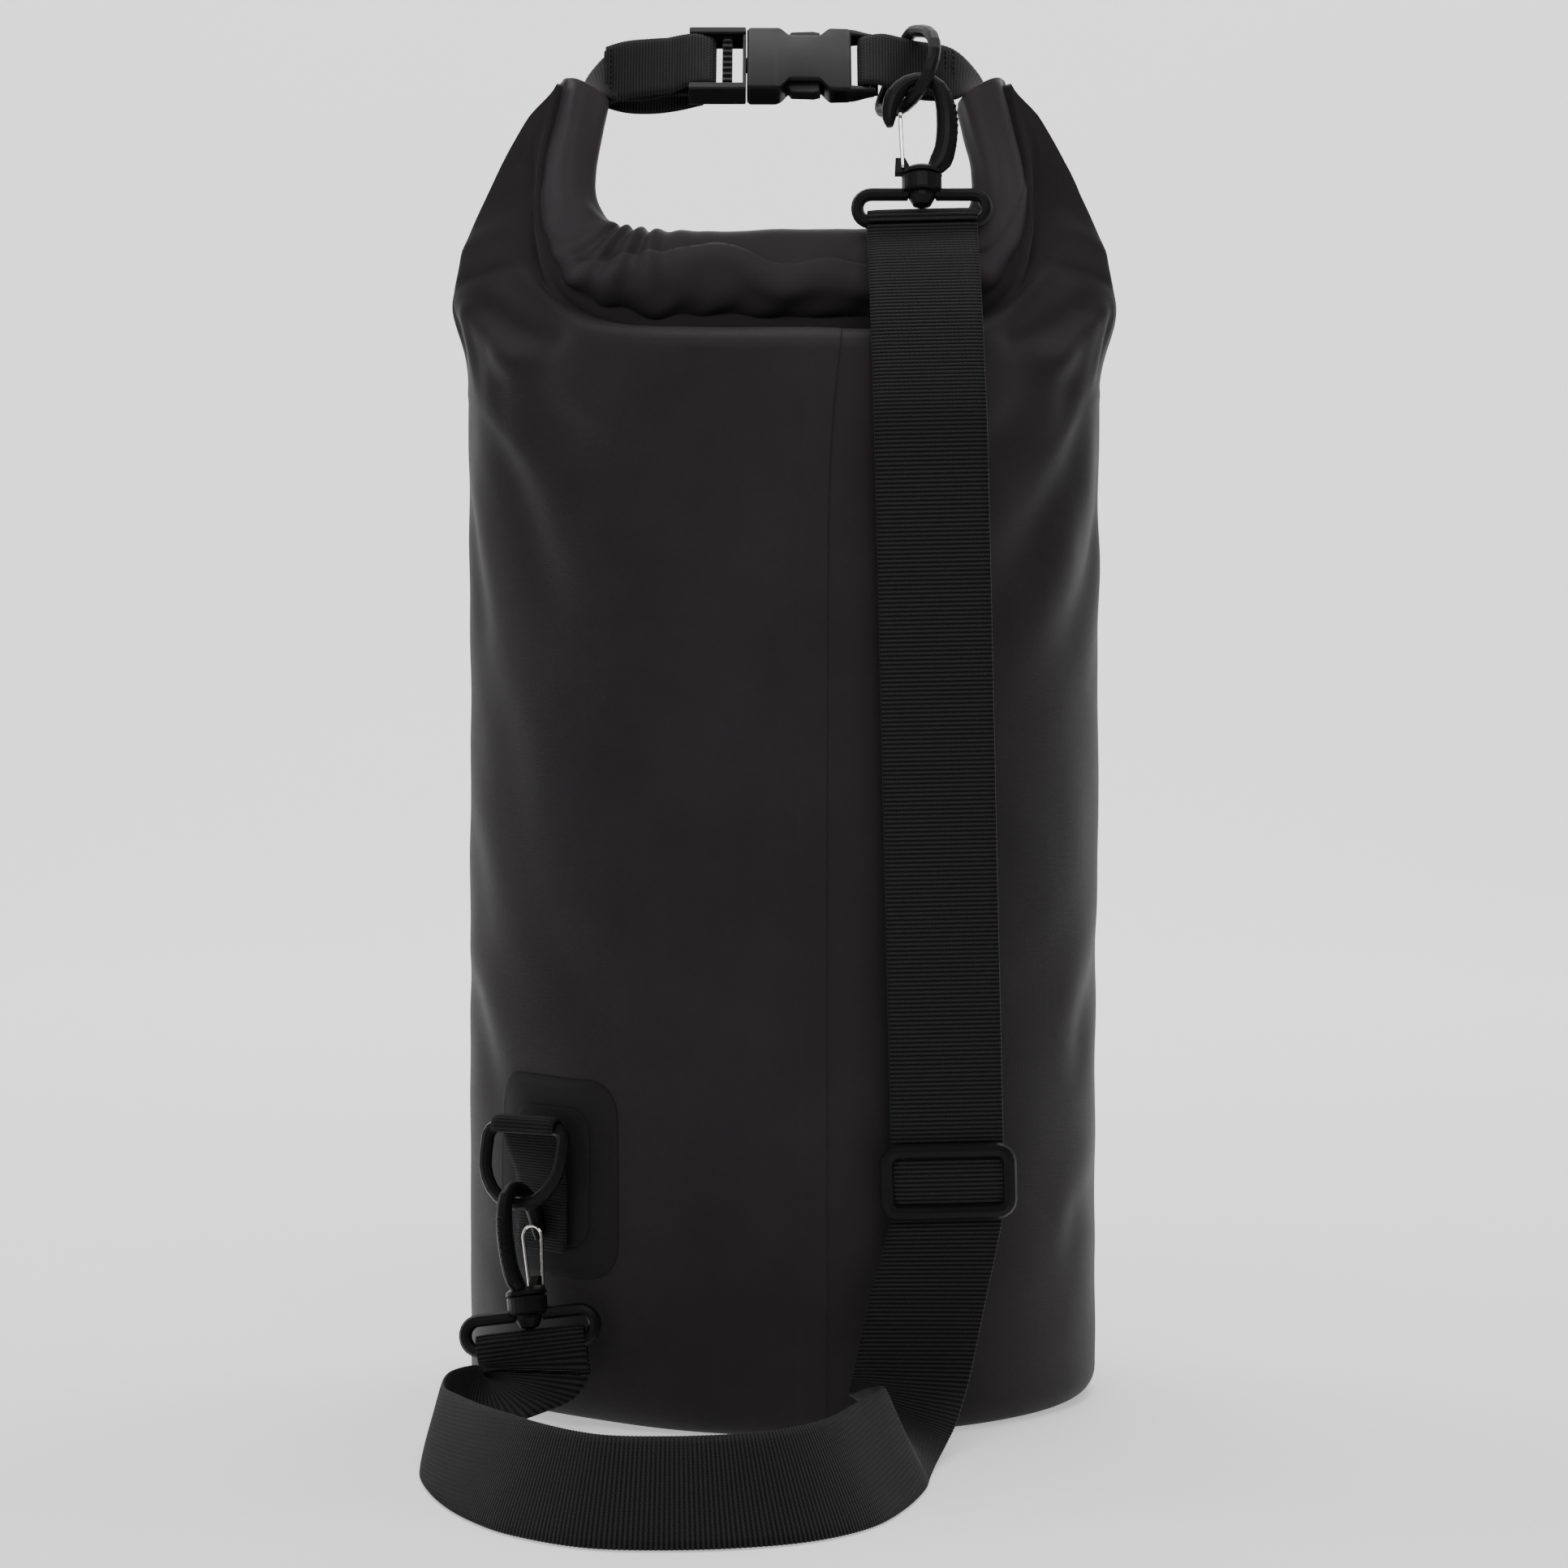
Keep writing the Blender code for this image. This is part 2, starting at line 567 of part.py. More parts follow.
def hook_limb(name):
    """Tapered limb and nose, an oval section swept round the eye."""
    line = spline_points([Vector((x, 0, z)) for x, z in HOOK_LINE], 2)
    wide = spline_points([Vector((w, 0, 0)) for w in HOOK_WIDE], 2)
    deep = spline_points([Vector((d, 0, 0)) for d in HOOK_DEEP], 2)
    rings = []
    for i, centre in enumerate(line):
        ahead = (line[min(i + 1, len(line) - 1)] - line[max(i - 1, 0)]).normalized()
        side = Vector((ahead.z, 0, -ahead.x))
        rings.append([centre + side * wide[i].x * math.cos(a) + Vector((0, deep[i].x * math.sin(a), 0))
                      for a in (math.tau * k / 14 for k in range(14))])
    return loft(name, rings)


def make_hook(prefix, place, axis, base_across, hook_across):
    base_frame = add_frame(prefix + "_base_frame", place, base_across, axis)
    hook_frame = add_frame(prefix + "_hook_frame", place, hook_across, axis)
    top, bottom = BARREL_HEIGHT / 2, -BARREL_HEIGHT / 2

    # swivel base: a bored barrel on a long strap loop
    wide, high = LOOP_HALF
    loop = [(x, 0.0, z) for x, z in rounded(-wide, wide, -LOOP_DROP - high, -LOOP_DROP + high, high - 0.0002, 6)]
    base = add_part(prefix + "_swivel_base", wire_mesh("loop", loop, LOOP_ROD, cyclic=True, sides=3), PLASTIC,
                    base_frame)
    barrel = [(BARREL_BORE, top), (BARREL_RADIUS - 0.0006, top), (BARREL_RADIUS, top - 0.0006),
              (BARREL_RADIUS, bottom + 0.0006), (BARREL_RADIUS - 0.0006, bottom), (BARREL_BORE, bottom),
              (BARREL_BORE, top)]
    combine(base, add_cutter(prefix + "_barrel", turned_mesh("barrel", barrel, 24), base_frame), "UNION")
    bore = rod_mesh("bore", (0, 0, -0.0062), (0, 0, top + 0.001), BARREL_BORE, 24)
    combine(base, add_cutter(prefix + "_bore", bore, base_frame), "DIFFERENCE")
    head_room = rod_mesh("head_room", (0, 0, -0.0110), (0, 0, bottom), 0.0052, 24)
    combine(base, add_cutter(prefix + "_head_room", head_room, base_frame), "DIFFERENCE")

    # hook: collar, shaft and retaining head turned in one with the limb and the gate lug
    head = -0.0084
    spindle = [(0.0, top + 0.0030), (0.0050, top + 0.0030), (0.0070, top + 0.0016), (0.0072, top + GAP),
               (SHAFT_RADIUS, top + GAP), (SHAFT_RADIUS, bottom - GAP), (0.0047, bottom - GAP),
               (0.0047, bottom - 0.0016), (0.0032, head + 0.0008), (0.0012, head), (0.0, head)]
    hook = add_part(prefix + "_hook", turned_mesh("spindle", spindle, 24), PLASTIC, hook_frame)
    combine(hook, add_cutter(prefix + "_limb", hook_limb("limb"), hook_frame), "UNION")
    lug = plate_mesh("lug", [[(-0.0095, top + 0.0006), (-0.0030, top + 0.0006), (-0.0044, 0.0070),
                              (-0.0058, 0.0098), (-0.0092, 0.0098)]], -0.0019, 0.0019, 0.0004)
    lug.transform(Matrix.Rotation(math.radians(90), 4, "X"))
    combine(hook, add_cutter(prefix + "_lug", lug, hook_frame), "UNION")
    x, z = GATE_PIVOT
    pin_hole = rod_mesh("pin_hole", (x, -0.004, z), (x, 0.004, z), GATE_WIRE + 0.0001, 12)
    combine(hook, add_cutter(prefix + "_pin_hole", pin_hole, hook_frame), "DIFFERENCE")

    # wire gate: both feet in the lug, a bow that closes on the inside of the nose
    half_low, half_high = 0.0028, 0.0038
    feet = [(0.0, 0.0006, 0.0), (0.0, 0.0018, 0.0), (0.0, half_low - 0.0003, 0.0), (0.0, half_low, 0.0006)]
    bow = [(-0.0008, half_high * math.cos(a), 0.0175 + half_high * math.sin(a))
           for a in (math.pi * k / 10 for k in range(11))]
    line = feet + bow + [(px, -py, pz) for px, py, pz in feet[::-1]]
    gate = add_part(prefix + "_hook_gate", wire_mesh("gate", line, GATE_WIRE, sides=1), STEEL, hook_frame)
    gate.location = (x, 0, z)


# ---- strap --------------------------------------------------------------------------------
def strap_centre(height):
    """Sideways place of the hanging strap at a height."""
    return SLIDER_PLACE.x - (height - SLIDER_PLACE.z) * SLIDER_LEAN


def loop_frame(place, axis, across):
    up = axis.normalized()
    side = (across - up * across.dot(up)).normalized()
    return up, side, up.cross(side)


def make_strap():
    up, side, back = loop_frame(UPPER_SWIVEL, UPPER_AXIS, UPPER_ACROSS)
    bar = UPPER_SWIVEL - up * (LOOP_DROP + LOOP_HALF[1])
    wrap = LOOP_ROD + 3 * GAP + STRAP_THICK / 2
    across = Vector((1, 0, SLIDER_LEAN)).normalized()

    def run(points):
        return [Vector((strap_centre(z), y, z)) for y, z in points]

    # front layer, from the loop down through the slider
    front = [bar + Vector((0, -wrap, -0.0006))] + run([(-0.0615, 0.4130), (-0.0720, 0.4045), (-0.0890, 0.3860),
            (-0.1060, 0.3600), (-0.1130, 0.3440), (STRAP_FRONT_Y, 0.3250), (STRAP_FRONT_Y, 0.2600), (STRAP_FRONT_Y, 0.1500),
            (STRAP_FRONT_Y, 0.0780)])
    add_part("strap_hanging_run", band("run", front, [across] * len(front), STRAP_WIDTH, STRAP_THICK, 3), WOVEN)

    # fold over the loop's bar, and the sloping part of the back layer
    fold = []
    for k in range(8):
        a = math.radians(182 - 172 * k / 7)
        fold.append(bar + Vector((0, wrap * math.cos(a), wrap * math.sin(a) + 0.0002)))
    fold[0].z += 0.0004
    fold += run([(-0.0529, 0.4135), (-0.0570, 0.4092), (-0.0665, 0.4035), (-0.0866, 0.3840), (-0.1035, 0.3580),
                 (-0.1105, 0.3440), (-0.1121, BEND_HEIGHT)])
    add_part("strap_upper_fold", band("fold", fold, [across] * len(fold), STRAP_WIDTH, STRAP_THICK, 2), WOVEN)

    layer = run([(STRAP_BACK_Y, BEND_HEIGHT - 0.0020), (STRAP_BACK_Y, 0.2500), (STRAP_BACK_Y, 0.1700),
                 (STRAP_BACK_Y, 0.0950)])
    add_part("strap_back_layer", band("layer", layer, [across] * len(layer), STRAP_WIDTH, STRAP_THICK, 1), WOVEN)

    # lower stretch: it lands on its right edge and runs round the floor on that edge
    right = [(0.0746, -0.1150, 0.0772), (0.0719, -0.1175, 0.0640), (0.0683, -0.1210, 0.0480),
             (0.0632, -0.1280, 0.0250), (0.0584, -0.1410, 0.0118), (0.0545, -0.1530, 0.0060),
             (0.0505, -0.1700, 0.0022), (0.0478, -0.1900, 0.0010), (0.0455, -0.2110, 0.0006),
             (0.0391, -0.2410, 0.0006), (0.0301, -0.2686, 0.0006), (0.0184, -0.2873, 0.0006),
             (0.0033, -0.3004, 0.0006), (-0.0167, -0.3083, 0.0006), (-0.0366, -0.3110, 0.0006),
             (-0.0565, -0.3090, 0.0006), (-0.0714, -0.3004, 0.0006), (-0.0877, -0.2832, 0.0006),
             (-0.0989, -0.2632, 0.0006), (-0.1077, -0.2410, 0.0006), (-0.1153, -0.2128, 0.0006),
             (-0.1199, -0.1834, 0.0006), (-0.1195, -0.1580, 0.0008), (-0.1140, -0.1420, 0.0022),
             (-0.1050, -0.1390, 0.0045), (-0.0930, -0.1345, 0.0085), (-0.0800, -0.1285, 0.0115),
             (-0.0715, -0.1200, 0.0150), (-0.0675, -0.1135, 0.0225)]
    left = [(0.0366, -0.1150, 0.0763), (0.0335, -0.1175, 0.0636), (0.0290, -0.1205, 0.0480),
            (0.0238, -0.1270, 0.0258), (0.0222, -0.1330, 0.0205), (0.0226, -0.1420, 0.0205),
            (0.0245, -0.1560, 0.0235), (0.0285, -0.1730, 0.0278), (0.0325, -0.1925, 0.0310),
            (0.0226, -0.2275, 0.0316), (0.0150, -0.2530, 0.0318), (0.0060, -0.2700, 0.0320),
            (-0.0050, -0.2810, 0.0320), (-0.0200, -0.2875, 0.0320), (-0.0366, -0.2900, 0.0320),
            (-0.0535, -0.2885, 0.0320), (-0.0650, -0.2805, 0.0320), (-0.0770, -0.2655, 0.0320),
            (-0.0868, -0.2465, 0.0315), (-0.0965, -0.2220, 0.0300), (-0.1062, -0.1880, 0.0275),
            (-0.1139, -0.1555, 0.0255), (-0.1132, -0.1300, 0.0262), (-0.1070, -0.1140, 0.0258),
            (-0.1042, -0.1070, 0.0250), (-0.1038, -0.1045, 0.0240), (-0.1038, -0.1040, 0.0238),
            (-0.1039, -0.1050, 0.0240), (-0.1040, -0.1060, 0.0250)]
    add_part("strap_floor_loop", ribbon("floor", left, right, STRAP_THICK, 2), WOVEN)

    # sewn end, folded loosely over the lower loop's bar
    up, side, back = loop_frame(LOWER_SWIVEL, LOWER_AXIS, LOWER_ACROSS)
    bar = LOWER_SWIVEL - up * (LOOP_DROP + LOOP_HALF[1])
    edge = (Vector(right[-1]) - Vector(left[-1])).normalized()
    middle = (Vector(right[-1]) + Vector(left[-1])) / 2
    rise = up * 0.0010
    meet = bar - back * wrap
    travel = (meet - middle).normalized()
    loose = [middle + travel * 0.0020, middle.lerp(meet, 0.6)]
    for k in range(7):
        a = math.radians(180 - 30 * k)
        loose.append(bar + rise + back * wrap * math.cos(a) + up * wrap * math.sin(a))
    loose.append(bar + back * (wrap + 0.0002) - up * 0.0060)
    loose.append(bar + back * (wrap - 0.0004) - up * 0.0120)
    spread = [edge] + [side] * (len(loose) - 1)
    add_part("strap_lower_end", band("end", loose, spread, STRAP_WIDTH - 0.0006, STRAP_THICK, 2), WOVEN)


def make_slider():
    """Three-bar slider: the outer bars pass in front of the strap, the middle bar behind it."""
    frame = add_frame("slider_frame", SLIDER_PLACE, Vector((1, 0, SLIDER_LEAN)), Vector((-SLIDER_LEAN, 0, 1)))
    wide, high = SLIDER_SIZE[0] / 2 - SLIDER_BAR, SLIDER_SIZE[1] / 2 - SLIDER_BAR
    front = -(STRAP_THICK / 2 + GAP + SLIDER_BAR * 0.62)
    outline = [(x, front, z) for x, z in rounded(-wide, wide, -high, high, 0.0042, 4)]
    slider = add_part("strap_slider", wire_mesh("slider", outline, SLIDER_BAR, cyclic=True, sides=2), PLASTIC, frame)
    for vert in slider.data.vertices:
        vert.co.y = front + (vert.co.y - front) * 0.62
    middle_bar = 0.0014
    depth = STRAP_THICK / 2 + GAP + middle_bar
    for side in (-1, 1):
        edge = side * wide
        cheek = box_mesh("cheek", (edge - 0.0018, front, -0.0040), (edge + 0.0018, depth + 0.0010, 0.0040), 0.0004)
        combine(slider, add_cutter(f"slider_cheek_{side + 1}", cheek, frame), "UNION")
    bar = rod_mesh("bar", (-wide, depth, 0), (wide, depth, 0), middle_bar, 12)
    combine(slider, add_cutter("slider_bar", bar, frame), "UNION")


# ---- lower ring's patches and tab ---------------------------------------------------------
def wall_sheet(name, size, radius, thick, corner):
    """Rounded patch bent round the wall."""
    bm = bmesh.new()
    outline = rounded(-size[0] / 2, size[0] / 2, -size[1] / 2, size[1] / 2, corner, 5)
    flat = [bm.verts.new((x, 0, z)) for x, z in outline]
    bm.faces.new(flat)
    for k in range(1, 12):
        x = size[0] * (k / 12 - 0.5)
        bmesh.ops.bisect_plane(bm, geom=bm.verts[:] + bm.edges[:] + bm.faces[:], plane_co=(x, 0, 0),
                               plane_no=(1, 0, 0), dist=0.000001)
    made = bmesh.ops.extrude_face_region(bm, geom=bm.faces[:])
    for item in made["geom"]:
        if isinstance(item, bmesh.types.BMVert):
            item.co.y = -thick
    for vert in bm.verts:
        angle = PATCH_AZIMUTH + vert.co.x / BAG_RADIUS
        reach = radius - vert.co.y
        vert.co = Vector((reach * math.sin(angle), -reach * math.cos(angle), PATCH_HEIGHT + vert.co.z))
    return mesh_from(name, bm)


def make_tab():
    first = BAG_RADIUS + GAP
    add_part("ring_patch_outer", wall_sheet("outer", PATCH_OUTER, first, PATCH_THICK, 0.012), COATED)
    second = first + PATCH_THICK + GAP
    add_part("ring_patch_inner", wall_sheet("inner", PATCH_INNER, second, PATCH_THICK, 0.008), COATED)

    # tab: the webbing climbs the patch, folds over the ring's bar and comes back down
    sheet = second + PATCH_THICK + GAP + WEBBING_THICK / 2
    turn = Matrix.Rotation(LOWER_RING_TURN, 3, "Z")
    out = Vector((math.sin(PATCH_AZIMUTH), -math.cos(PATCH_AZIMUTH), 0))
    along = Vector((math.cos(PATCH_AZIMUTH), math.sin(PATCH_AZIMUTH), 0))
    bar = LOWER_RING_PLACE
    bar_side = turn @ Vector((1, 0, 0))
    bar_out = turn @ Vector((0, -1, 0))
    wrap = RING_ROD + 2 * GAP + WEBBING_THICK / 2
    wall = out * sheet
    line = [Vector((wall.x, wall.y, 0.0650)), Vector((wall.x, wall.y, 0.0760)), Vector((wall.x, wall.y, 0.0850))]
    across = [along] * len(line)
    joint = Vector((bar.x, bar.y, 0)) - bar_out * wrap
    line.append(Vector((wall.x, wall.y, 0)).lerp(joint, 0.6) + Vector((0, 0, 0.0955)))
    across.append(along.lerp(bar_side, 0.6))
    for k in range(8):
        a = math.radians(180 - 200 * k / 7)
        line.append(bar + bar_out * wrap * math.cos(a) + Vector((0, 0, wrap * math.sin(a))))
        across.append(bar_side)
    add_part("ring_tab_webbing", band("tab", line, across, WEBBING_WIDTH, WEBBING_THICK, 2), WOVEN)


# ---- assembly -----------------------------------------------------------------------------
make_bag()
make_roll()
make_closure_webbing()
make_buckle()
ring_up = UPPER_RING_LONG.normalized()
ring_deep = (UPPER_RING_DEEP - ring_up * UPPER_RING_DEEP.dot(ring_up)).normalized()
make_ring("upper_d_ring", add_frame("upper_ring_frame", UPPER_RING_PLACE - ring_deep * RING_DEPTH / 2,
                                    ring_up, -ring_deep))
make_hook("upper", UPPER_SWIVEL, UPPER_AXIS, UPPER_ACROSS, UPPER_ACROSS)
make_hook("lower", LOWER_SWIVEL, LOWER_AXIS, LOWER_ACROSS, LOWER_HOOK_ACROSS)
tilted = Matrix.Rotation(LOWER_RING_TURN, 3, "Z") @ Vector((0, math.sin(LOWER_RING_TILT), math.cos(LOWER_RING_TILT)))
make_ring("lower_d_ring", add_frame("lower_ring_frame", LOWER_RING_PLACE,
                                    Matrix.Rotation(LOWER_RING_TURN, 3, "Z") @ Vector((1, 0, 0)), tilted))
make_tab()
make_slider()
make_strap()
bpy.context.view_layer.update()
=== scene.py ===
"""Looks of the roll-top dry bag: coated fabric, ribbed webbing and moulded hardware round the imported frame.

Metres, +Z up.  The bag stands on its base at the origin and its front faces -Y.
"""
import json
import math

import bmesh
import bpy
import numpy as np
from mathutils import Matrix, Vector, noise


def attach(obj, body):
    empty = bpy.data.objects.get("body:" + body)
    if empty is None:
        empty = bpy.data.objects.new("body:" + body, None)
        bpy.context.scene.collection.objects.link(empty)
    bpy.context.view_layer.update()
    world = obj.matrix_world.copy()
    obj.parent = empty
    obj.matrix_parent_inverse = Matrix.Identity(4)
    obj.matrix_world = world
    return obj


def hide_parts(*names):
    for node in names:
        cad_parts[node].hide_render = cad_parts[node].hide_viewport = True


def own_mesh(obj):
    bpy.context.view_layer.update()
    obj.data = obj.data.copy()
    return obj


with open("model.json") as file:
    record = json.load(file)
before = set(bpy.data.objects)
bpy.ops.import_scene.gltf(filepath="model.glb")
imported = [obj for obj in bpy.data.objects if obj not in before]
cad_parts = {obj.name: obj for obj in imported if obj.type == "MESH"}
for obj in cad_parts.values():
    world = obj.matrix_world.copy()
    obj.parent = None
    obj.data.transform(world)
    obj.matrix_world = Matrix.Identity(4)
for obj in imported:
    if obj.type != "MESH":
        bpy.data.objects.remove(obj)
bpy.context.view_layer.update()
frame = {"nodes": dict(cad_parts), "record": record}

# ---- driving dimensions, as in the CAD
GAP = 0.0003
BAG_RADIUS = 0.113
CORNER_REACH = 0.1186
CORNER_HEIGHT = 0.390
SHOULDER_FRONT, SHOULDER_BACK, SHOULDER_SIDE = 0.336, 0.325, 0.356
BASE_ROUNDING = 0.009

ROLL_SECTION_LOW, ROLL_SECTION_TOP = (0.017, 0.012), (0.0155, 0.0085)
ROLL_TWIST = math.radians(78)
RIM_MARGIN = 0.0019
ROLL_LINE = [(0.0, -0.04, 0.3995), (0.03, -0.04, 0.3995), (0.052, -0.0395, 0.4),
             (0.0665, -0.037, 0.406), (0.0755, -0.033, 0.42), (0.076, -0.028, 0.437),
             (0.073, -0.024, 0.453), (0.07, -0.022, 0.4655)]

WEBBING_WIDTH, WEBBING_THICK, WEBBING_RIB = 0.025, 0.0014, 0.00105
WEBBING_TILT = math.radians(32)
STRAP_WIDTH, STRAP_THICK, STRAP_RIB = 0.038, 0.0014, 0.0015
BUCKLE_PLACE = np.array((0.0, -0.0253, 0.4748))
BUCKLE_TILT = math.radians(45)
BUCKLE_BAR = 0.0016

UPPER_SWIVEL, UPPER_AXIS, UPPER_ACROSS = (0.0482, -0.0494, 0.4314), (0.0, 0.342, 0.94), (1.0, 0.0, 0.0)
LOWER_SWIVEL, LOWER_AXIS, LOWER_ACROSS = (-0.0885, -0.0982, 0.0444), (-0.11, 0.18, 0.977), (0.995, -0.10, 0.0)
LOWER_HOOK_ACROSS = (-0.51, -0.86, 0.0)
LOOP_HALF_HIGH, LOOP_DROP, LOOP_ROD = 0.0053, 0.0088, 0.0023

LOWER_RING_PLACE = np.array((-0.0890, -0.0864, 0.1044))
LOWER_RING_TURN = math.radians(-30)
RING_ROD = 0.0023
PATCH_AZIMUTH, PATCH_HEIGHT = math.radians(-46), 0.087
PATCH_OUTER, PATCH_INNER, PATCH_THICK = (0.062, 0.069), (0.038, 0.048), 0.0006

SLIDER_PLACE = (0.056, -0.115, 0.0896)
SLIDER_LEAN = 0.024
STRAP_FRONT_Y, STRAP_BACK_Y, BEND_HEIGHT = -0.1150, -0.1124, 0.336
BACK_LAYER_TOP, BACK_LAYER_END, SLIDER_TRAVEL = 0.334, 0.095, 0.15

SEAM_AZIMUTH = math.radians(7.4)       # lap seam down the front
SEAM_BAND = math.radians(5.0)          # width of its welded band

# ---- how finely things are made, and sizes only the looks have
MM = 0.001
ROLL_STEPS, ROLL_AROUND = 26, 112  # spans between two points of ROLL_LINE, points round the roll
WALL_ROWS, SHOULDER_ROWS = 117, 71
SOFT_BELOW, SOFT_ABOVE, SOFT_PASSES = 36, 30, 380  # rows smoothed at the shoulder's foot, and how often
FABRIC_THICK = 0.0008
RIB_HEIGHT = 0.00032
FRONT_RUN_END = 0.0767     # the strap's front run meets the floor loop here
THREAD_RADIUS, STITCH_GAP, STITCHES = 0.00022, 0.35, 9


# ---- numbers and curves
def unit(v):
    v = np.asarray(v, float)
    return v / np.linalg.norm(v, axis=-1, keepdims=True)


def smooth(low, high, x):
    t = np.clip((np.asarray(x, float) - low) / (high - low), 0, 1)
    return t * t * (3 - 2 * t)


def bell(x, centre, width):
    return np.exp(-((np.asarray(x, float) - centre) / width) ** 2)


def curve_through(points, steps):
    """Catmull-Rom curve through the points, `steps` spans between each pair."""
    p = np.asarray(points, float)
    p = np.vstack([2 * p[0] - p[1], p, 2 * p[-1] - p[-2]])
    made = []
    for a, b, c, d in zip(p, p[1:], p[2:], p[3:]):
        for k in range(steps):
            t = k / steps
            made.append(0.5 * (2 * b + (c - a) * t + (2 * a - 5 * b + 4 * c - d) * t * t
                               + (3 * b - a - 3 * c + d) * t ** 3))
    return np.array(made + [p[-2]])


def lengths(line):
    return np.concatenate([[0], np.cumsum(np.linalg.norm(np.diff(line, axis=0), axis=1))])


def sample(line, where, at):
    return np.stack([np.interp(at, where, line[:, k]) for k in range(line.shape[1])], axis=1)


def ripple(points, scale, seed=0.0):
    """Smooth repeatable noise from -1 to 1 at each point."""
    shift = Vector((seed, seed * 1.7, -seed))
    flat = np.asarray(points, float).reshape(-1, 3)
    found = np.array([noise.noise(Vector(p) * scale + shift) for p in flat])
    return found.reshape(np.asarray(points).shape[:-1])


# ---- meshes
def add_mesh(name, verts, faces, look, cloth=None, sharp=None):
    """Shown object from vertices and faces; cloth is each vertex's place on the fabric, in metres."""
    mesh = bpy.data.meshes.new(name)
    mesh.from_pydata([tuple(v) for v in verts], [], [tuple(int(i) for i in f) for f in faces])
    mesh.validate()
    if cloth is not None:
        flat = np.zeros((len(verts), 3), np.float32)
        flat[:, :2] = cloth
        mesh.attributes.new("cloth", "FLOAT_VECTOR", "POINT").data.foreach_set("vector", flat.ravel())
    mesh.shade_smooth()
    if sharp:
        mesh.set_sharp_from_angle(angle=math.radians(sharp))
    mesh.materials.append(look)
    made = bpy.data.objects.new(name, mesh)
    bpy.context.scene.collection.objects.link(made)
    return made


def loft_faces(rows, count):
    """Quads between rows of `count` points, with both ends capped."""
    faces = [(a + i, a + (i + 1) % count, a + count + (i + 1) % count, a + count + i)
             for a in range(0, (rows - 1) * count, count) for i in range(count)]
    return faces + [tuple(range(count - 1, -1, -1)), tuple(range((rows - 1) * count, rows * count))]


def add_lofts(name, lofts, look, cloth=None, sharp=None):
    """One shown object from one or more lofts, each a stack of rings."""
    verts, faces = [], []
    for rings in lofts:
        faces += [tuple(i + len(verts) for i in f) for f in loft_faces(len(rings), len(rings[0]))]
        verts += list(np.concatenate(rings))
    return add_mesh(name, verts, faces, look, cloth, sharp)


def ring(centre, radius, u, v, sides):
    turn = np.linspace(0, math.tau, sides, endpoint=False)[:, None]
    return centre + radius * (np.cos(turn) * u + np.sin(turn) * v)


def dress(piece, slot, *nodes, body="bag"):
    """Say which CAD nodes the piece stands for and what it moves with; slot, what it is made of, is not used.
    """
    if nodes:
        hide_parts(*nodes)
    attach(piece, body)


def webbing(name, left, right, thick, pitch, look, columns=12, steps=10, slack=0.0, seed=0.0):
    """Ribbed webbing between two edge lines, with real ribs across it and rounded selvedges."""
    left, right = curve_through(left, steps), curve_through(right, steps)
    where = lengths((left + right) / 2)
    rows = max(8, int(round(where[-1] / pitch * 4)))
    at = np.linspace(0, where[-1], rows + 1)
    left, right = sample(left, where, at), sample(right, where, at)
    ahead = np.gradient((left + right) / 2, axis=0)
    lift = unit(np.cross(right - left, ahead))
    across = np.linspace(0, 1, columns + 1)
    width = np.linalg.norm(right - left, axis=1).mean()
    crown = 1 - 0.40 * np.abs(2 * across - 1) ** 10
    rib = RIB_HEIGHT * (np.abs(np.sin(math.pi * at / pitch)) ** 0.7 - 0.6)
    rib *= smooth(0, pitch, at) * smooth(0, pitch, at[-1] - at)
    left_step, right_step = (np.linalg.norm(np.gradient(edge, axis=0), axis=1) for edge in (left, right))
    uneven = np.abs(left_step - right_step) / (left_step + right_step)
    rib *= 1 - 0.85 * smooth(0.18, 0.5, uneven)
    half = crown[None, :] * thick / 2 + rib[:, None]
    flat = left[:, None] + (right - left)[:, None] * across[None, :, None]
    if slack:
        middle = 4 * across * (1 - across)
        flat = flat + lift[:, None] * (slack * middle * ripple(flat, 22, seed))[..., None]
    top, bottom = flat + lift[:, None] * half[..., None], flat - lift[:, None] * half[..., None]
    side = unit(right - left) * (0.0002 + rib * 0.8)[:, None]
    rings = np.concatenate([top, (right + side)[:, None], bottom[:, ::-1], (left - side)[:, None]], axis=1)
    u = np.concatenate([across, [1.01], across[::-1], [-0.01]]) * width
    cloth = np.stack([np.tile(u, rows + 1), np.repeat(at, len(u))], axis=1)
    return add_lofts(name, [rings], look, cloth)


def band(name, line, across, width, thick, pitch, look, **more):
    """Webbing of constant width along a centre line; across is one direction or one for each point."""
    half = unit(across) * width / 2
    line = np.asarray(line, float)
    return webbing(name, line - half, line + half, thick, pitch, look, **more)


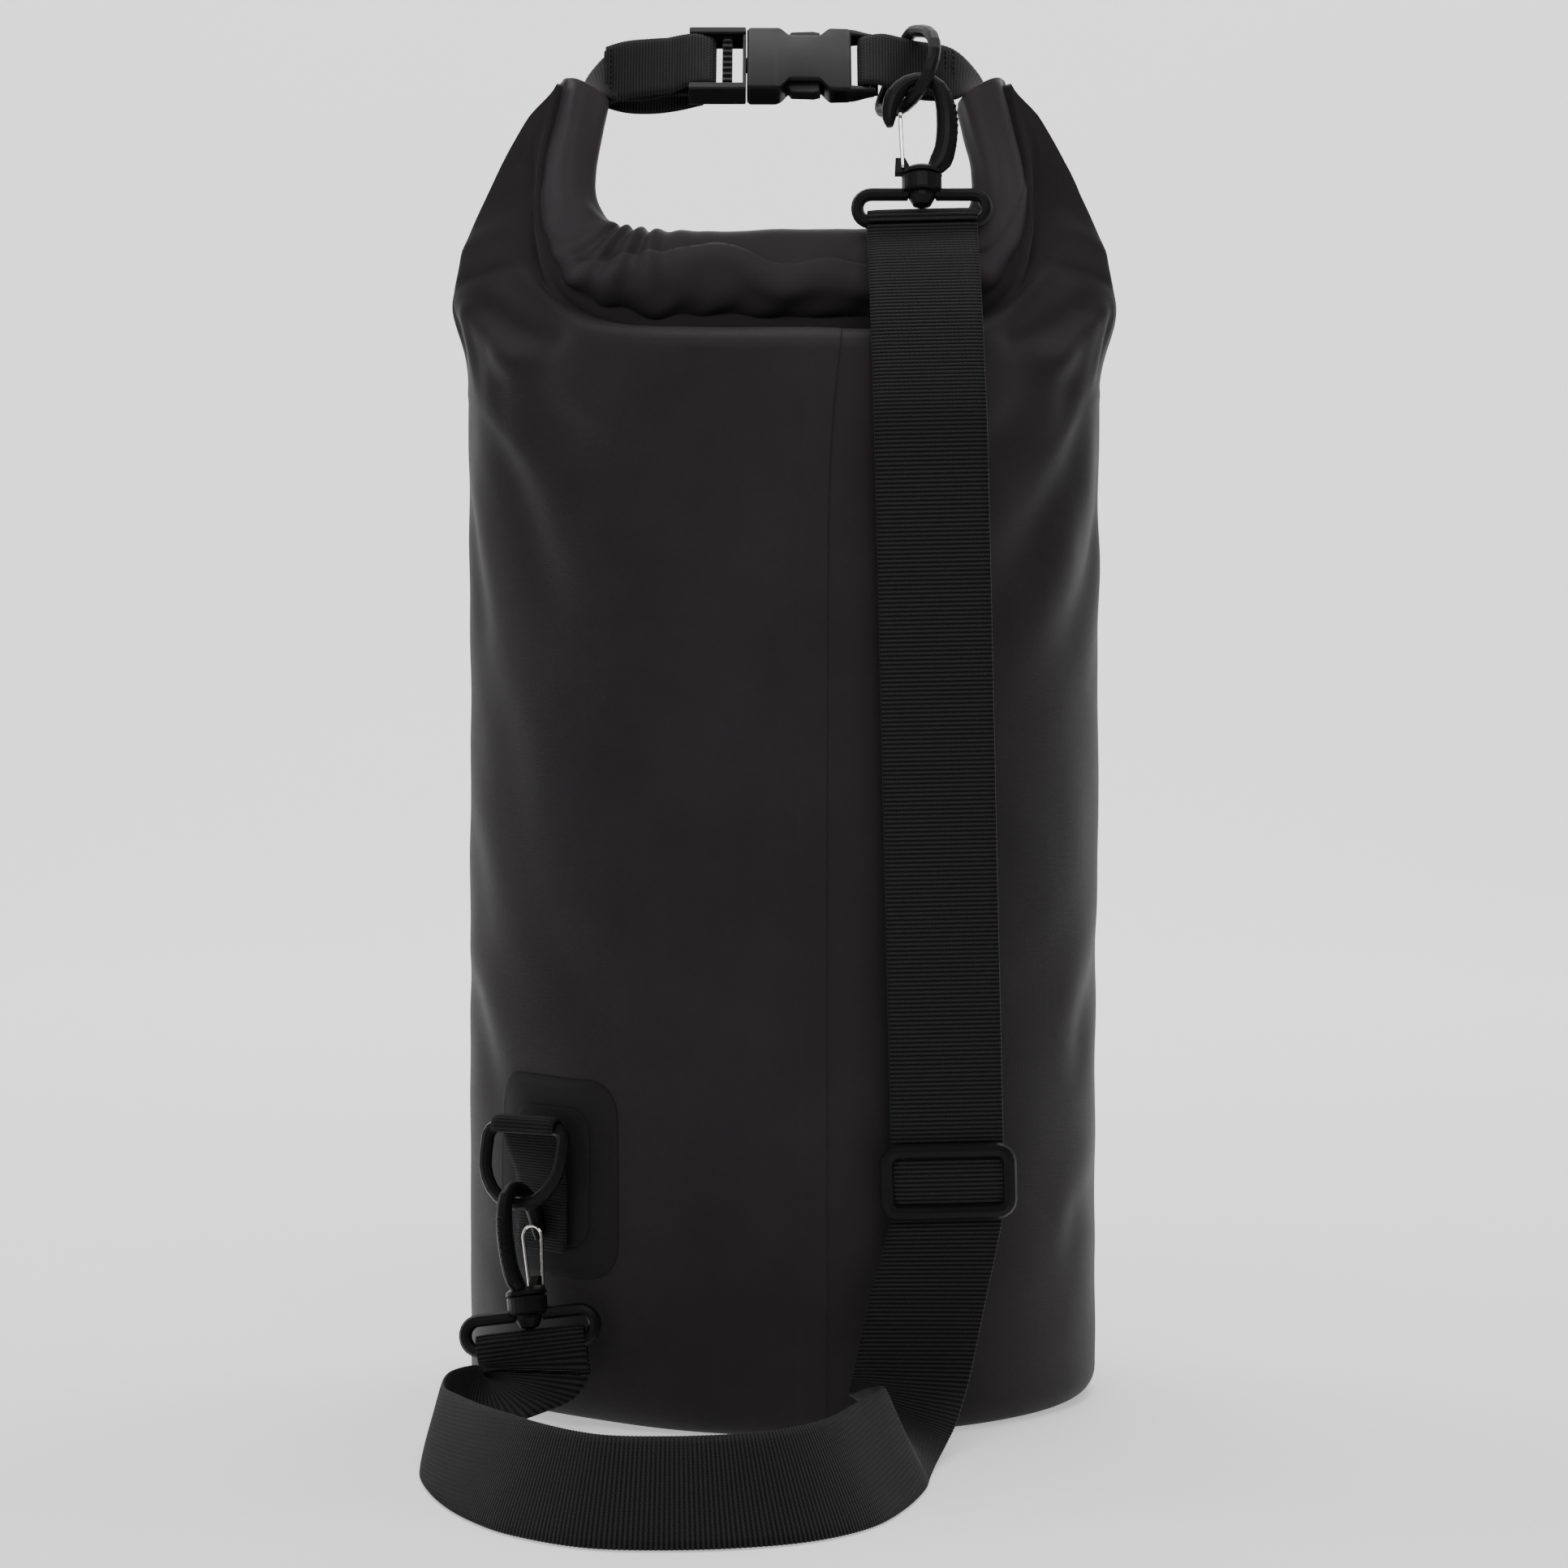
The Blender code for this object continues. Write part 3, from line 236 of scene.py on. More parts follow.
# ---- materials
class Look:
    """A node material, built up from its Principled shader."""

    def __init__(self, name, colour, roughness, metallic=0.0, specular=0.5):
        self.material = bpy.data.materials.new(name)
        self.material.use_nodes = True
        self.tree = self.material.node_tree
        self.shader = self.tree.nodes["Principled BSDF"]
        self.set(Base_Color=(*colour, 1), Roughness=roughness, Metallic=metallic, Specular_IOR_Level=specular)

    def set(self, **values):
        for key, value in values.items():
            self.shader.inputs[key.replace("_", " ")].default_value = value

    def add(self, kind, values=None, **settings):
        made = self.tree.nodes.new("ShaderNode" + kind)
        for key, value in settings.items():
            setattr(made, key, value)
        for key, value in (values or {}).items():
            if isinstance(value, bpy.types.NodeSocket):
                self.tree.links.new(value, made.inputs[key])
            else:
                made.inputs[key].default_value = value
        return made

    def link(self, socket, name):
        self.tree.links.new(socket, self.shader.inputs[name])

    def place(self):
        return self.add("TexCoord").outputs["Object"]

    def cloth(self):
        return self.add("Attribute", attribute_name="cloth").outputs["Vector"]

    def noise(self, vector, scale, detail):
        values = {"Vector": vector, "Scale": scale, "Detail": detail, "Roughness": 0.55}
        return self.add("TexNoise", values).outputs["Fac"]

    def bands(self, vector, axis, period, distortion=0.0):
        values = {"Vector": vector, "Scale": math.pi / (10 * period), "Distortion": distortion}
        return self.add("TexWave", values, bands_direction=axis).outputs["Fac"]

    def math(self, operation, a, b):
        return self.add("Math", {0: a, 1: b}, operation=operation).outputs[0]

    def span(self, value, low, high, to_low, to_high):
        return self.add("MapRange", {"Value": value, "From Min": low, "From Max": high, "To Min": to_low,
                                     "To Max": to_high}).outputs["Result"]

    def mix(self, factor, a, b):
        made = self.add("Mix", {"Factor": factor}, data_type="RGBA")
        made.inputs[6].default_value, made.inputs[7].default_value = (*a, 1), (*b, 1)
        return made.outputs[2]

    def bump(self, height, strength, distance):
        made = self.add("Bump", {"Height": height, "Strength": strength, "Distance": distance})
        self.link(made.outputs["Normal"], "Normal")


def coated_fabric(name, dark, light, roughness):
    """Matt film over a fine plain weave, a little uneven in gloss, with rubbed lighter patches."""
    look = Look(name, dark, roughness[0], specular=0.06)
    look.set(Specular_Tint=(0.40, 0.39, 0.41, 1), Sheen_Weight=0.008, Sheen_Roughness=0.5,
             Sheen_Tint=(0.8, 0.78, 0.85, 1))
    place, cloth = look.place(), look.cloth()
    cloud = look.noise(place, 14, 4)
    fine = look.noise(place, 900, 2)
    look.link(look.mix(look.span(cloud, 0.3, 0.7, 0, 1), dark, light), "Base Color")
    mottle = look.math("ADD", look.math("MULTIPLY", cloud, 0.7), look.math("MULTIPLY", fine, 0.3))
    look.link(look.span(mottle, 0.3, 0.7, *roughness), "Roughness")
    weave = look.math("MULTIPLY", look.bands(cloth, "X", 0.00055, 0.6), look.bands(cloth, "Y", 0.00060, 0.6))
    look.bump(look.math("ADD", weave, look.math("MULTIPLY", fine, 0.8)), 0.35, 0.00010)
    return look.material


def woven(name, pitch, dark, light):
    """Ribbed polyester webbing: painted highlight on the rib tops, painted shade in the grooves, and fine
    yarns over each rib.
    """
    look = Look(name, dark, 0.72, specular=0.30)
    look.set(Specular_Tint=(0.4, 0.4, 0.4, 1), Sheen_Weight=0.02, Sheen_Roughness=0.45)
    cloth = look.cloth()
    rib = look.bands(cloth, "Y", pitch, 0.0)
    yarn = look.bands(cloth, "X", 0.00062, 0.4)
    slant = look.bands(cloth, "DIAGONAL", 0.00080, 0.3)
    fuzz = look.noise(cloth, 2600, 3)
    painted_top_highlight = look.math("MULTIPLY", look.span(yarn, 0, 1, 0.55, 1.0), look.span(fuzz, 0.3, 0.7, 0.6, 1.1))
    # colour runs from dark to light across each rib: painted shade in the grooves and painted highlight on the
    # rib tops, laid over the real ribs of the mesh
    look.link(look.mix(look.math("MULTIPLY", rib, painted_top_highlight), dark, light), "Base Color")
    look.link(look.span(fuzz, 0.3, 0.7, 0.62, 0.82), "Roughness")
    height = look.math("ADD", look.math("ADD", yarn, slant), fuzz)
    look.bump(height, 0.5, 0.00012)
    return look.material


def moulded(name, colour, roughness):
    """Satin black acetal with a fine moulded grain, an uneven gloss, and a lighter colour on its sharpest
    edges.
    """
    look = Look(name, colour, roughness[0], specular=0.45)
    look.set(Specular_Tint=(0.25, 0.24, 0.26, 1))
    place = look.place()
    grain = look.noise(place, 3200, 2)
    handled = look.noise(place, 60, 3)
    look.link(look.span(handled, 0.35, 0.65, *roughness), "Roughness")
    # the base colour turns lighter on the sharpest edges, found by pointiness
    edge = look.add("NewGeometry").outputs["Pointiness"]
    sharp_edge_colour = tuple(c * 2.2 for c in colour)
    look.link(look.mix(look.span(edge, 0.52, 0.60, 0, 0.6), colour, sharp_edge_colour), "Base Color")
    look.bump(grain, 0.25, 0.00005)
    return look.material


def bright_steel(name):
    look = Look(name, (0.78, 0.76, 0.72), 0.16, metallic=1.0)
    place = look.place()
    drawn = look.noise(place, 1500, 2)
    look.link(look.span(drawn, 0.3, 0.7, 0.10, 0.26), "Roughness")
    look.link(look.mix(look.noise(place, 220, 2), (0.80, 0.78, 0.74), (0.62, 0.60, 0.56)), "Base Color")
    look.bump(drawn, 0.1, 0.00003)
    return look.material


COATED = coated_fabric("coated_fabric",
                       (0.0205, 0.0187, 0.0199), (0.0275, 0.025, 0.0266), (0.44, 0.58))
# the rolled mouth is the wall's own fabric in lighter colours: painted light for the top light that the roll
# catches
COATED_ROLL_PAINTED_LIGHTER = coated_fabric("coated_fabric_rolled_painted_lighter",
                            (0.033, 0.03, 0.032), (0.044, 0.04, 0.0428), (0.36, 0.52))
COATED_PATCH = coated_fabric("coated_patch",
                             (0.015, 0.0138, 0.0147), (0.019, 0.0175, 0.0186), (0.48, 0.62))
# webbing colours: each dark one is painted shade for the rib grooves, each light one a painted highlight for
# the rib tops
WOVEN_STRAP = woven("webbing_38", STRAP_RIB, (0.0006, 0.0006, 0.0007), (0.03, 0.03, 0.031))
WOVEN_CLOSURE = woven("webbing_25", WEBBING_RIB, (0.0008, 0.0008, 0.0009), (0.022, 0.022, 0.0225))
THREAD = woven("sewing_thread", 0.0006, (0.003, 0.003, 0.003), (0.016, 0.016, 0.017))
PLASTIC = moulded("moulded_acetal", (0.0045, 0.0045, 0.0049), (0.38, 0.5))
STIFF = moulded("stiffener_strip", (0.03, 0.03, 0.032), (0.4, 0.5))
STEEL = bright_steel("gate_wire_steel")

TAPE = {"thick": WEBBING_THICK, "pitch": WEBBING_RIB, "look": WOVEN_CLOSURE}


# ---- the rolled mouth
def roll_path(steps):
    """Centres, frames, section sizes and twist share along the roll, left end to right end."""
    right = curve_through(ROLL_LINE, steps)
    line = np.vstack([(right * (-1, 1, 1))[:0:-1], right])
    where = lengths(line)
    half = where[-1] / 2
    ahead = unit(np.gradient(line, axis=0))
    depth = unit(np.array((0.0, 1.0, 0.0)) - ahead * ahead[:, 1:2])
    outward = np.cross(depth, ahead)
    share = smooth(0.25, 0.75, np.abs(where - half) / half)
    turn = (ROLL_TWIST * share)[:, None]
    wide = outward * np.cos(turn) + depth * np.sin(turn)
    thin = depth * np.cos(turn) - outward * np.sin(turn)
    size = [low + (top - low) * share for low, top in zip(ROLL_SECTION_LOW, ROLL_SECTION_TOP)]
    return {"centre": line, "ahead": ahead, "outward": outward, "depth": depth, "wide": wide, "thin": thin,
            "size": np.stack(size, axis=1), "share": share, "at": (where - half) / half, "where": where}


def roll_surface(path, around):
    """Points on the roll: `around` in radians from its lower front, outwards from the flat section."""
    c, s = np.cos(around), np.sin(around)
    flat_c, flat_s = np.copysign(np.abs(c) ** 0.85, c), np.copysign(np.abs(s) ** 0.85, s)
    w, t = path["size"][:, 0], path["size"][:, 1]
    return path["centre"] + path["wide"] * (w * flat_c)[:, None] + path["thin"] * (t * flat_s)[:, None]


def make_roll():
    """Several turns of the mouth: a lapped outer layer, bunched wrinkles at both bends, coiled ends."""
    path = roll_path(ROLL_STEPS)
    rows, count = len(path["centre"]), ROLL_AROUND
    at = path["at"]
    bend = bell(np.abs(at), 0.43, 0.15)
    leg = smooth(0.45, 0.62, np.abs(at))
    rings = []
    cloth = []
    for k in range(count):
        a = math.tau * k / count
        surface = roll_surface(path, np.full(rows, a))
        # lap of the outer turn: a wavy step along the front, fading on the legs
        lap = 4.38 + 0.20 * np.sin(at * 8.0 + 0.6) + 0.10 * np.sin(at * 23 + 2.0)
        lap = lap + 0.5 * (1 - smooth(0.0, 0.5, 1 - np.abs(at)))
        step = 0.0024 * smooth(-0.10, 0.02, a - lap) * (1 - smooth(0.5, 1.6, a - lap)) * (1 - 0.7 * leg)
        ridge = 0.0028 * bell(a, lap + 0.26, 0.24) * (1 - leg)
        slant = 0.0005 * np.sin(at * 40 + a * 4 + 2 * ripple(surface, 22, 4)) * bell(a, 5.35, 0.5) * (1 - leg)
        # bunched wrinkles run across the bend, deepest on its inner side
        inner = 0.35 + 0.65 * np.abs(np.cos(a / 2 + 0.4))
        phase = at * 74 + 2.6 * np.sin(a * 1.0 + at * 8) + 1.3 * ripple(surface, 34, 3)
        wrinkle = 0.0021 * bend * inner * np.sin(phase) * (0.7 + 0.5 * ripple(surface, 60, 9))
        soft = 0.0011 * ripple(surface, 26, 5) + 0.0004 * ripple(surface, 75, 8)
        long_fold = 0.0007 * leg * np.sin(a * 5 + 1.5 * ripple(surface, 12, 2) + at * 5)
        outward = unit(surface - path["centre"])
        end = smooth(0.0, 0.018, 1 - np.abs(at))
        lift = (step + ridge + slant + wrinkle + soft + long_fold) * (0.3 + 0.7 * end)
        # the ends are cut on a slant, longer on the outside of the bends
        longer = 0.33 * (surface - path["centre"])
        longer = (longer * path["outward"]).sum(axis=1) * np.sign(at) * (1 - smooth(0.0, 0.2, 1 - np.abs(at)))
        rings.append(surface + outward * lift[:, None] + path["ahead"] * longer[:, None])
        cloth.append(np.stack([np.full(rows, a * 0.0125), path["where"]], axis=1))
    body = np.stack(rings, axis=1)
    cloth = np.stack(cloth, axis=1)
    # coiled ends: the layers stand at slightly different depths
    layers = ((0.93, 0.0004), (0.90, -0.0010), (0.80, -0.0009), (0.77, 0.0003), (0.66, 0.0002),
              (0.63, -0.0011), (0.52, -0.0010), (0.49, 0.0), (0.30, -0.0008), (0.06, -0.0010))
    caps = []
    for end in (0, -1):
        out = path["ahead"][end] * (1 if end else -1)
        centre = path["centre"][end]
        caps.append([centre + (body[end] - centre) * scale + out * reach for scale, reach in layers])
    rings = np.concatenate([np.array(caps[0])[::-1], body, np.array(caps[1])])
    pad = len(layers)
    cloth = np.concatenate([np.repeat(cloth[:1], pad, axis=0), cloth, np.repeat(cloth[-1:], pad, axis=0)])
    # the roll takes the fabric's lighter copy, which is painted light
    roll = add_lofts("rolled_mouth", [rings], COATED_ROLL_PAINTED_LIGHTER, cloth.reshape(-1, 2))
    dress(roll, "coated_fabric", "mouth_roll")


# ---- bag
# soft creases on the wall: azimuth in degrees from the front and height at each end, depth, half width;
# all but the azimuths in millimetres
CREASES = np.array([
    (-66, 352, -36, 286, 2, 11), (-84, 330, -60, 262, 1.6, 11), (74, 356, 40, 276, 2.2, 11),
    (60, 322, 36, 252, 1.4, 13), (82, 318, 66, 262, 1.6, 10), (-64, 262, -44, 196, 1, 15),
    (-80, 214, -56, 160, 1, 14), (-50, 178, -18, 136, 0.8, 16), (-84, 156, -54, 116, 1.8, 12),
    (-60, 134, -28, 100, 0.9, 14), (-26, 120, 4, 82, 0.9, 15), (-18, 94, 0, 48, 0.8, 12),
    (62, 124, 84, 176, 1.3, 12), (60, 60, 84, 92, 1.2, 12), (-72, 62, -36, 34, 1.1, 12),
    (-30, 54, 8, 22, 0.8, 12), (112, 330, 140, 270, 2, 12), (-108, 330, -138, 262, 2, 12),
    (170, 210, 130, 160, 1.2, 15), (-165, 130, -120, 100, 1.2, 15), (150, 90, 110, 50, 1.2, 13),
    (-150, 290, -172, 230, 1, 13)]) * (1, MM, 1, MM, MM, MM)


def seam_band(azimuth):
    """1 on the welded band of the front's lap seam, 0 beyond its free edge."""
    past = azimuth - SEAM_AZIMUTH
    return (1 - smooth(0, 0.0025, past)) * smooth(-SEAM_BAND, -SEAM_BAND + 0.006, past)


def wall_relief(azimuth, height):
    """How far the filled wall stands out from a true cylinder, at each azimuth (radians) and height."""
    azimuth, height = np.broadcast_arrays(np.asarray(azimuth, float), np.asarray(height, float))
    round_place = np.stack([np.sin(azimuth) * BAG_RADIUS, -np.cos(azimuth) * BAG_RADIUS, height], axis=-1)
    out = 0.0012 * ripple(round_place * (1, 1, 0.7), 13, 1) + 0.0005 * ripple(round_place, 38, 2)
    out = out * smooth(0.0, 0.05, height)
    for from_turn, from_z, to_turn, to_z, depth, width in CREASES:
        start = np.array((math.radians(from_turn) * BAG_RADIUS, from_z))
        run = np.array((math.radians(to_turn) * BAG_RADIUS, to_z)) - start
        size = math.hypot(*run)
        run /= size
        dx, dz = azimuth * BAG_RADIUS - start[0], height - start[1]
        along = (dx * run[0] + dz * run[1]) / size
        off = dx * run[1] - dz * run[0] + 0.004 * np.sin(along * 5)
        fade = smooth(-0.15, 0.30, along) * (1 - smooth(0.55, 1.20, along))
        spread = width * (1 + 0.6 * np.clip(along, 0, 1))
        swell = 0.55 * bell(off, -0.75 * spread, 0.8 * spread)
        out = out + depth * fade * (swell - bell(off, 0.5 * spread, 0.7 * spread))
    pucker = 0.00010 * np.sin(height / 0.0045) * bell(azimuth - SEAM_AZIMUTH, -SEAM_BAND / 2, SEAM_BAND / 3)
    return out + 0.0006 * seam_band(azimuth) + pucker


def wall_point(azimuth, height, above=0.0):
    reach = BAG_RADIUS + wall_relief(azimuth, height) + above
    height = np.broadcast_to(height, np.shape(reach))
    return np.stack([reach * np.sin(azimuth), -reach * np.cos(azimuth), height], axis=-1)


def hermite(a, b, leave, arrive, t):
    return (a * (2 * t ** 3 - 3 * t * t + 1) + leave * (t ** 3 - 2 * t * t + t)
            + b * (3 * t * t - 2 * t ** 3) + arrive * (t ** 3 - t * t))


def from_middle(points, x):
    """Points at shares x of the way from the roll's middle to its right end."""
    half = points[len(points) // 2:]
    return sample(half, np.arange(len(half)), np.clip(x, 0, 1) * (len(half) - 1))


def rim_points(x, front):
    """Bag's rim, just outside the roll: x from 0 at the middle to 1 at the side fold."""
    path = roll_path(ROLL_STEPS)
    share = path["share"]
    turn = ROLL_TWIST * share
    reach = np.hypot(path["size"][:, 0] * np.cos(turn), path["size"][:, 1] * np.sin(turn)) + RIM_MARGIN
    deep = (0.012 * (1 - share) + 0.0055 * share) * (-1 if front else 1)
    return from_middle(path["centre"] + path["outward"] * reach[:, None] + path["depth"] * deep[:, None], x)


def soften_shoulder(rows, shoulder, x):
    """Round the bend between the upright wall and the closing shoulder, least at the folded corners."""
    keep = smooth(0.72, 0.97, np.abs(x))[:, None]
    near = rows[shoulder - SOFT_BELOW:shoulder + SOFT_ABOVE]
    soft = near.copy()
    for _ in range(SOFT_PASSES):
        soft[1:-1] = soft[1:-1] * 0.5 + (soft[:-2] + soft[2:]) * 0.25
    near[:] = soft * (1 - keep) + near * keep


# outer edge of each folded side corner, from the wall past its point to the roll's end:
# reach and height in millimetres
EAR_EDGE = [
    (113, 356), (113.4, 366.8), (114.4, 374.5), (116.8, 383.5), (118.3, 390.2), (117.7, 396.1),
    (115, 407.8), (110.4, 419.5), (104.8, 431.2), (99, 442.9), (92.2, 454.6), (85, 465.5), (80, 470.5)]


def fill_ears(rings, turns):
    """Let the folded corners stand out to their own edge line between the point and the roll's end."""
    edge = curve_through(np.array(EAR_EDGE) * MM, 12)
    for side in (-1, 1):
        fold = int(np.argmin(np.abs(turns - side * math.pi / 2)))
        weight = bell(np.degrees(turns), side * 90, 17)[None, :, None]
        reach = np.interp(rings[:, fold, 2], edge[:, 1], edge[:, 0])
        push = (reach - np.abs(rings[:, fold, 0])) * side
        along = np.linspace(0, 1, len(rings))
        push = push * (1 - smooth(0.92, 1.0, along)) * smooth(0.0, 0.12, along)
        rings += weight * np.stack([push, 0 * push, 0 * push], axis=1)[:, None]


def make_bag():
    # one column each degree, and some more where the seam's edges need them
    seam_turns = [SEAM_AZIMUTH + d for d in (-SEAM_BAND - 0.003, -SEAM_BAND + 0.003, -0.004, -0.0005,
                                             0.0012, 0.0030, 0.007)]
    turns = np.array(sorted(set(list(np.linspace(-math.pi, math.pi, 361)[:-1]) + seam_turns)))
    count = len(turns)
    x, y = np.sin(turns), -np.cos(turns)
    rows = []

    # base and its welded, rounded edge; the front left corner has slumped
    slump = bell(turns, math.radians(-42), math.radians(26))
    edge = BASE_ROUNDING + 0.009 * slump
    for reach in (0.0, 0.25, 0.5, 0.75, 0.88):
        flat = np.stack([x * reach, y * reach, 0 * x], axis=1)
        z = 0.0006 * smooth(0.2, 0.9, reach) * np.abs(ripple(flat, 3, 4))
        rows.append(np.stack([x * reach * 0.100, y * reach * 0.100, z], axis=1))
    wall_foot = wall_relief(turns, 0.03)
    for a in np.linspace(-90, 0, 10):
        c, s = math.cos(math.radians(a)), 1 + math.sin(math.radians(a))
        reach = BAG_RADIUS - edge + edge * c + wall_foot * smooth(-90, 0, a)
        rows.append(np.stack([x * reach, y * reach, edge * s], axis=1))
    # upright wall
    front_high = SHOULDER_BACK + (SHOULDER_FRONT - SHOULDER_BACK) * smooth(-0.3, 0.3, -y)
    high = front_high + (SHOULDER_SIDE - front_high) * np.abs(x) ** 6
    for t in np.linspace(0, 1, WALL_ROWS + 1)[1:]:
        z = edge + (high - edge) * t
        rows.append(np.stack([x * BAG_RADIUS, y * BAG_RADIUS, z], axis=1))
    start = rows[-1]

    # shoulder: it closes in to the flat mouth and stands out at two folded side corners
    side = np.abs(x) ** 3
    middle_high = 0.370 + 0.008 * smooth(-0.3, 0.3, -y)
    middle = np.stack([CORNER_REACH * np.copysign(np.abs(x) ** 0.88, x),
                       np.where(y < 0, 0.092, 0.084) * y * (1 - side * 0.65) - 0.010 * side,
                       middle_high + (CORNER_HEIGHT - middle_high) * side], axis=1)
    share = np.arccos(np.clip(np.abs(y), -1, 1)) / (math.pi / 2)
    end = np.where((y < 0)[:, None], rim_points(share, True), rim_points(share, False))
    end[:, 0] = np.copysign(end[:, 0], x)
    end[np.abs(x) > 0.9999, 1] = (rim_points([1.0], True)[0][1] + rim_points([1.0], False)[0][1]) / 2
    end[np.abs(x) < 0.0001, 0] = 0.0
    lift = np.array((0.0, 0.0, 0.02))
    for u in np.linspace(0, 1, SHOULDER_ROWS + 1)[1:]:
        if u <= 0.5:
            ring = hermite(start, middle, lift, (end - start) * 0.35, u * 2)
        else:
            ring = hermite(middle, end, (end - start) * 0.35, (end - middle) * 0.9, u * 2 - 1)
        rows.append(ring)
    rows = np.array(rows)
    shoulder = len(rows) - SHOULDER_ROWS
    soften_shoulder(rows, shoulder, x)
    rows[shoulder:] += shoulder_relief(rows[shoulder:], turns)
    wall = rows[shoulder - WALL_ROWS:shoulder + SOFT_ABOVE]
    t = (np.arange(len(wall)) / WALL_ROWS)[:, None]
    relief = wall_relief(turns[None, :], wall[..., 2]) * smooth(0, 0.04, t)
    relief = relief + wall_foot * (1 - smooth(0, 0.04, t))
    wall += (relief * (1 - smooth(0.98, 1.24, t)))[..., None] * np.stack([x, y, 0 * x], axis=1)
    # the lap seam runs on up the shoulder to the rim
    upper = np.linspace(0, 1, SHOULDER_ROWS)[:, None]
    lapped = 0.0005 * seam_band(turns) * smooth(0.04, 0.22, upper) * (1 - smooth(0.9, 1.0, upper))
    rows[shoulder:] += lapped[..., None] * np.array((0, -1.0, 0.3))
    fill_ears(rows[shoulder:], turns)

    # the fabric runs on from the rim into the roll
    core = from_middle(roll_path(ROLL_STEPS)["centre"], share)
    core[:, 0] = np.copysign(core[:, 0], x)
    core[np.abs(x) < 0.0001, 0] = 0.0
    tuck = [rows[-1] * (1 - t) + core * t for t in (0.12, 0.26, 0.42, 0.60, 0.80)]
    rows = np.concatenate([rows, np.array(tuck)])
    around = turns * BAG_RADIUS
    grown = np.cumsum(np.linalg.norm(np.diff(rows, axis=0, prepend=rows[:1]), axis=2).mean(axis=1))
    cloth = np.stack([np.tile(around, len(rows)), np.repeat(grown, count)], axis=1)
    bag = add_mesh("bag_shell", rows.reshape(-1, 3), loft_faces(len(rows), count)[:-2], COATED, cloth)
    shut_base(bag, count)
    sheet = bag.modifiers.new("thickness", "SOLIDIFY")
    sheet.thickness, sheet.offset = FABRIC_THICK, -1.0
    dress(bag, "coated_fabric", "bag_wall", "bag_base")


def shut_base(bag, count):
    """The base's centre ring has no size: weld it to one point, then turn all faces outwards."""
    made = bmesh.new()
    made.from_mesh(bag.data)
    made.verts.ensure_lookup_table()
    bmesh.ops.remove_doubles(made, verts=made.verts[:count], dist=0.000001)
    bmesh.ops.recalc_face_normals(made, faces=made.faces)
    made.to_mesh(bag.data)
    made.free()


# folds at the front of each ear: two ends (reach, height), how far they stand out, half width
EAR_FOLDS = [((0.111, 0.388), (0.095, 0.37), 0.0028, 0.0055),
             ((0.095, 0.37), (0.058, 0.344), 0.002, 0.0085),
             ((0.104, 0.39), (0.082, 0.38), -0.0036, 0.0065),
             ((0.1, 0.362), (0.098, 0.342), -0.0016, 0.005)]


def ear_folds(rings, turns):
    """Folds that run from the corners' points over the front of the shoulder."""
    amount = np.zeros(rings.shape[:2])
    reach, height = np.abs(rings[..., 0]), rings[..., 2]
    for (x0, z0), (x1, z1), stand, width in EAR_FOLDS:
        run_x, run_z = x1 - x0, z1 - z0
        along = np.clip(((reach - x0) * run_x + (height - z0) * run_z) / (run_x ** 2 + run_z ** 2), 0, 1)
        away = np.hypot(reach - x0 - run_x * along, height - z0 - run_z * along)
        amount += stand * bell(away, 0, width)
    return amount * smooth(2, 14, 90 - np.abs(np.degrees(turns)))[None, :]


def shoulder_relief(rings, turns):
    """Folds of the gathered shoulder and ears, faded out at the rim and at the wall."""
    u = np.linspace(0, 1, len(rings))[:, None]
    turn = np.degrees(turns)[None, :]
    mirror = np.abs(turn)
    ear = bell(mirror, 84, 22)
    # a deep valley runs up beside the roll's leg, and a fold reaches it from the corner's point
    valley = -0.0052 * bell(u, 0.87, 0.07) * smooth(34, 54, mirror) * (1 - smooth(83, 89, mirror))
    fold_at = 87 - 36 * smooth(0.5, 0.84, u)
    fold = 0.0018 * bell(mirror, fold_at + 12, 7) - 0.002 * bell(mirror, fold_at, 6)
    fold = fold * smooth(0.52, 0.66, u) * (1 - smooth(0.78, 0.92, u))
    rays = 0.0008 * np.sin(mirror * 0.36 + u * 5 + np.sign(turn) * 0.8) + 0.0003 * np.sin(mirror * 0.8 + u * 3)
    rays = rays * ear * smooth(0.05, 0.35, u) * (1 - smooth(0.4, 0.56, u))
    spread = bell(mirror, 62 - 22 * (1 - u), 8) * 0.0030 * smooth(-0.02, 0.2, u) * (1 - smooth(0.35, 0.6, u))
    notes = 0.0010 * ripple(rings, 30, 6) * smooth(0, 0.15, u) * (1 - smooth(0.9, 1, u))
    amount = ear_folds(rings, turns) * smooth(0.02, 0.2, u) + valley + fold + rays - spread + notes
    round_dir = np.roll(rings, -1, axis=1) - np.roll(rings, 1, axis=1)
    up_dir = np.gradient(rings, axis=0)
    normal = unit(np.cross(round_dir, up_dir) + 1e-12)
    return normal * amount[..., None]


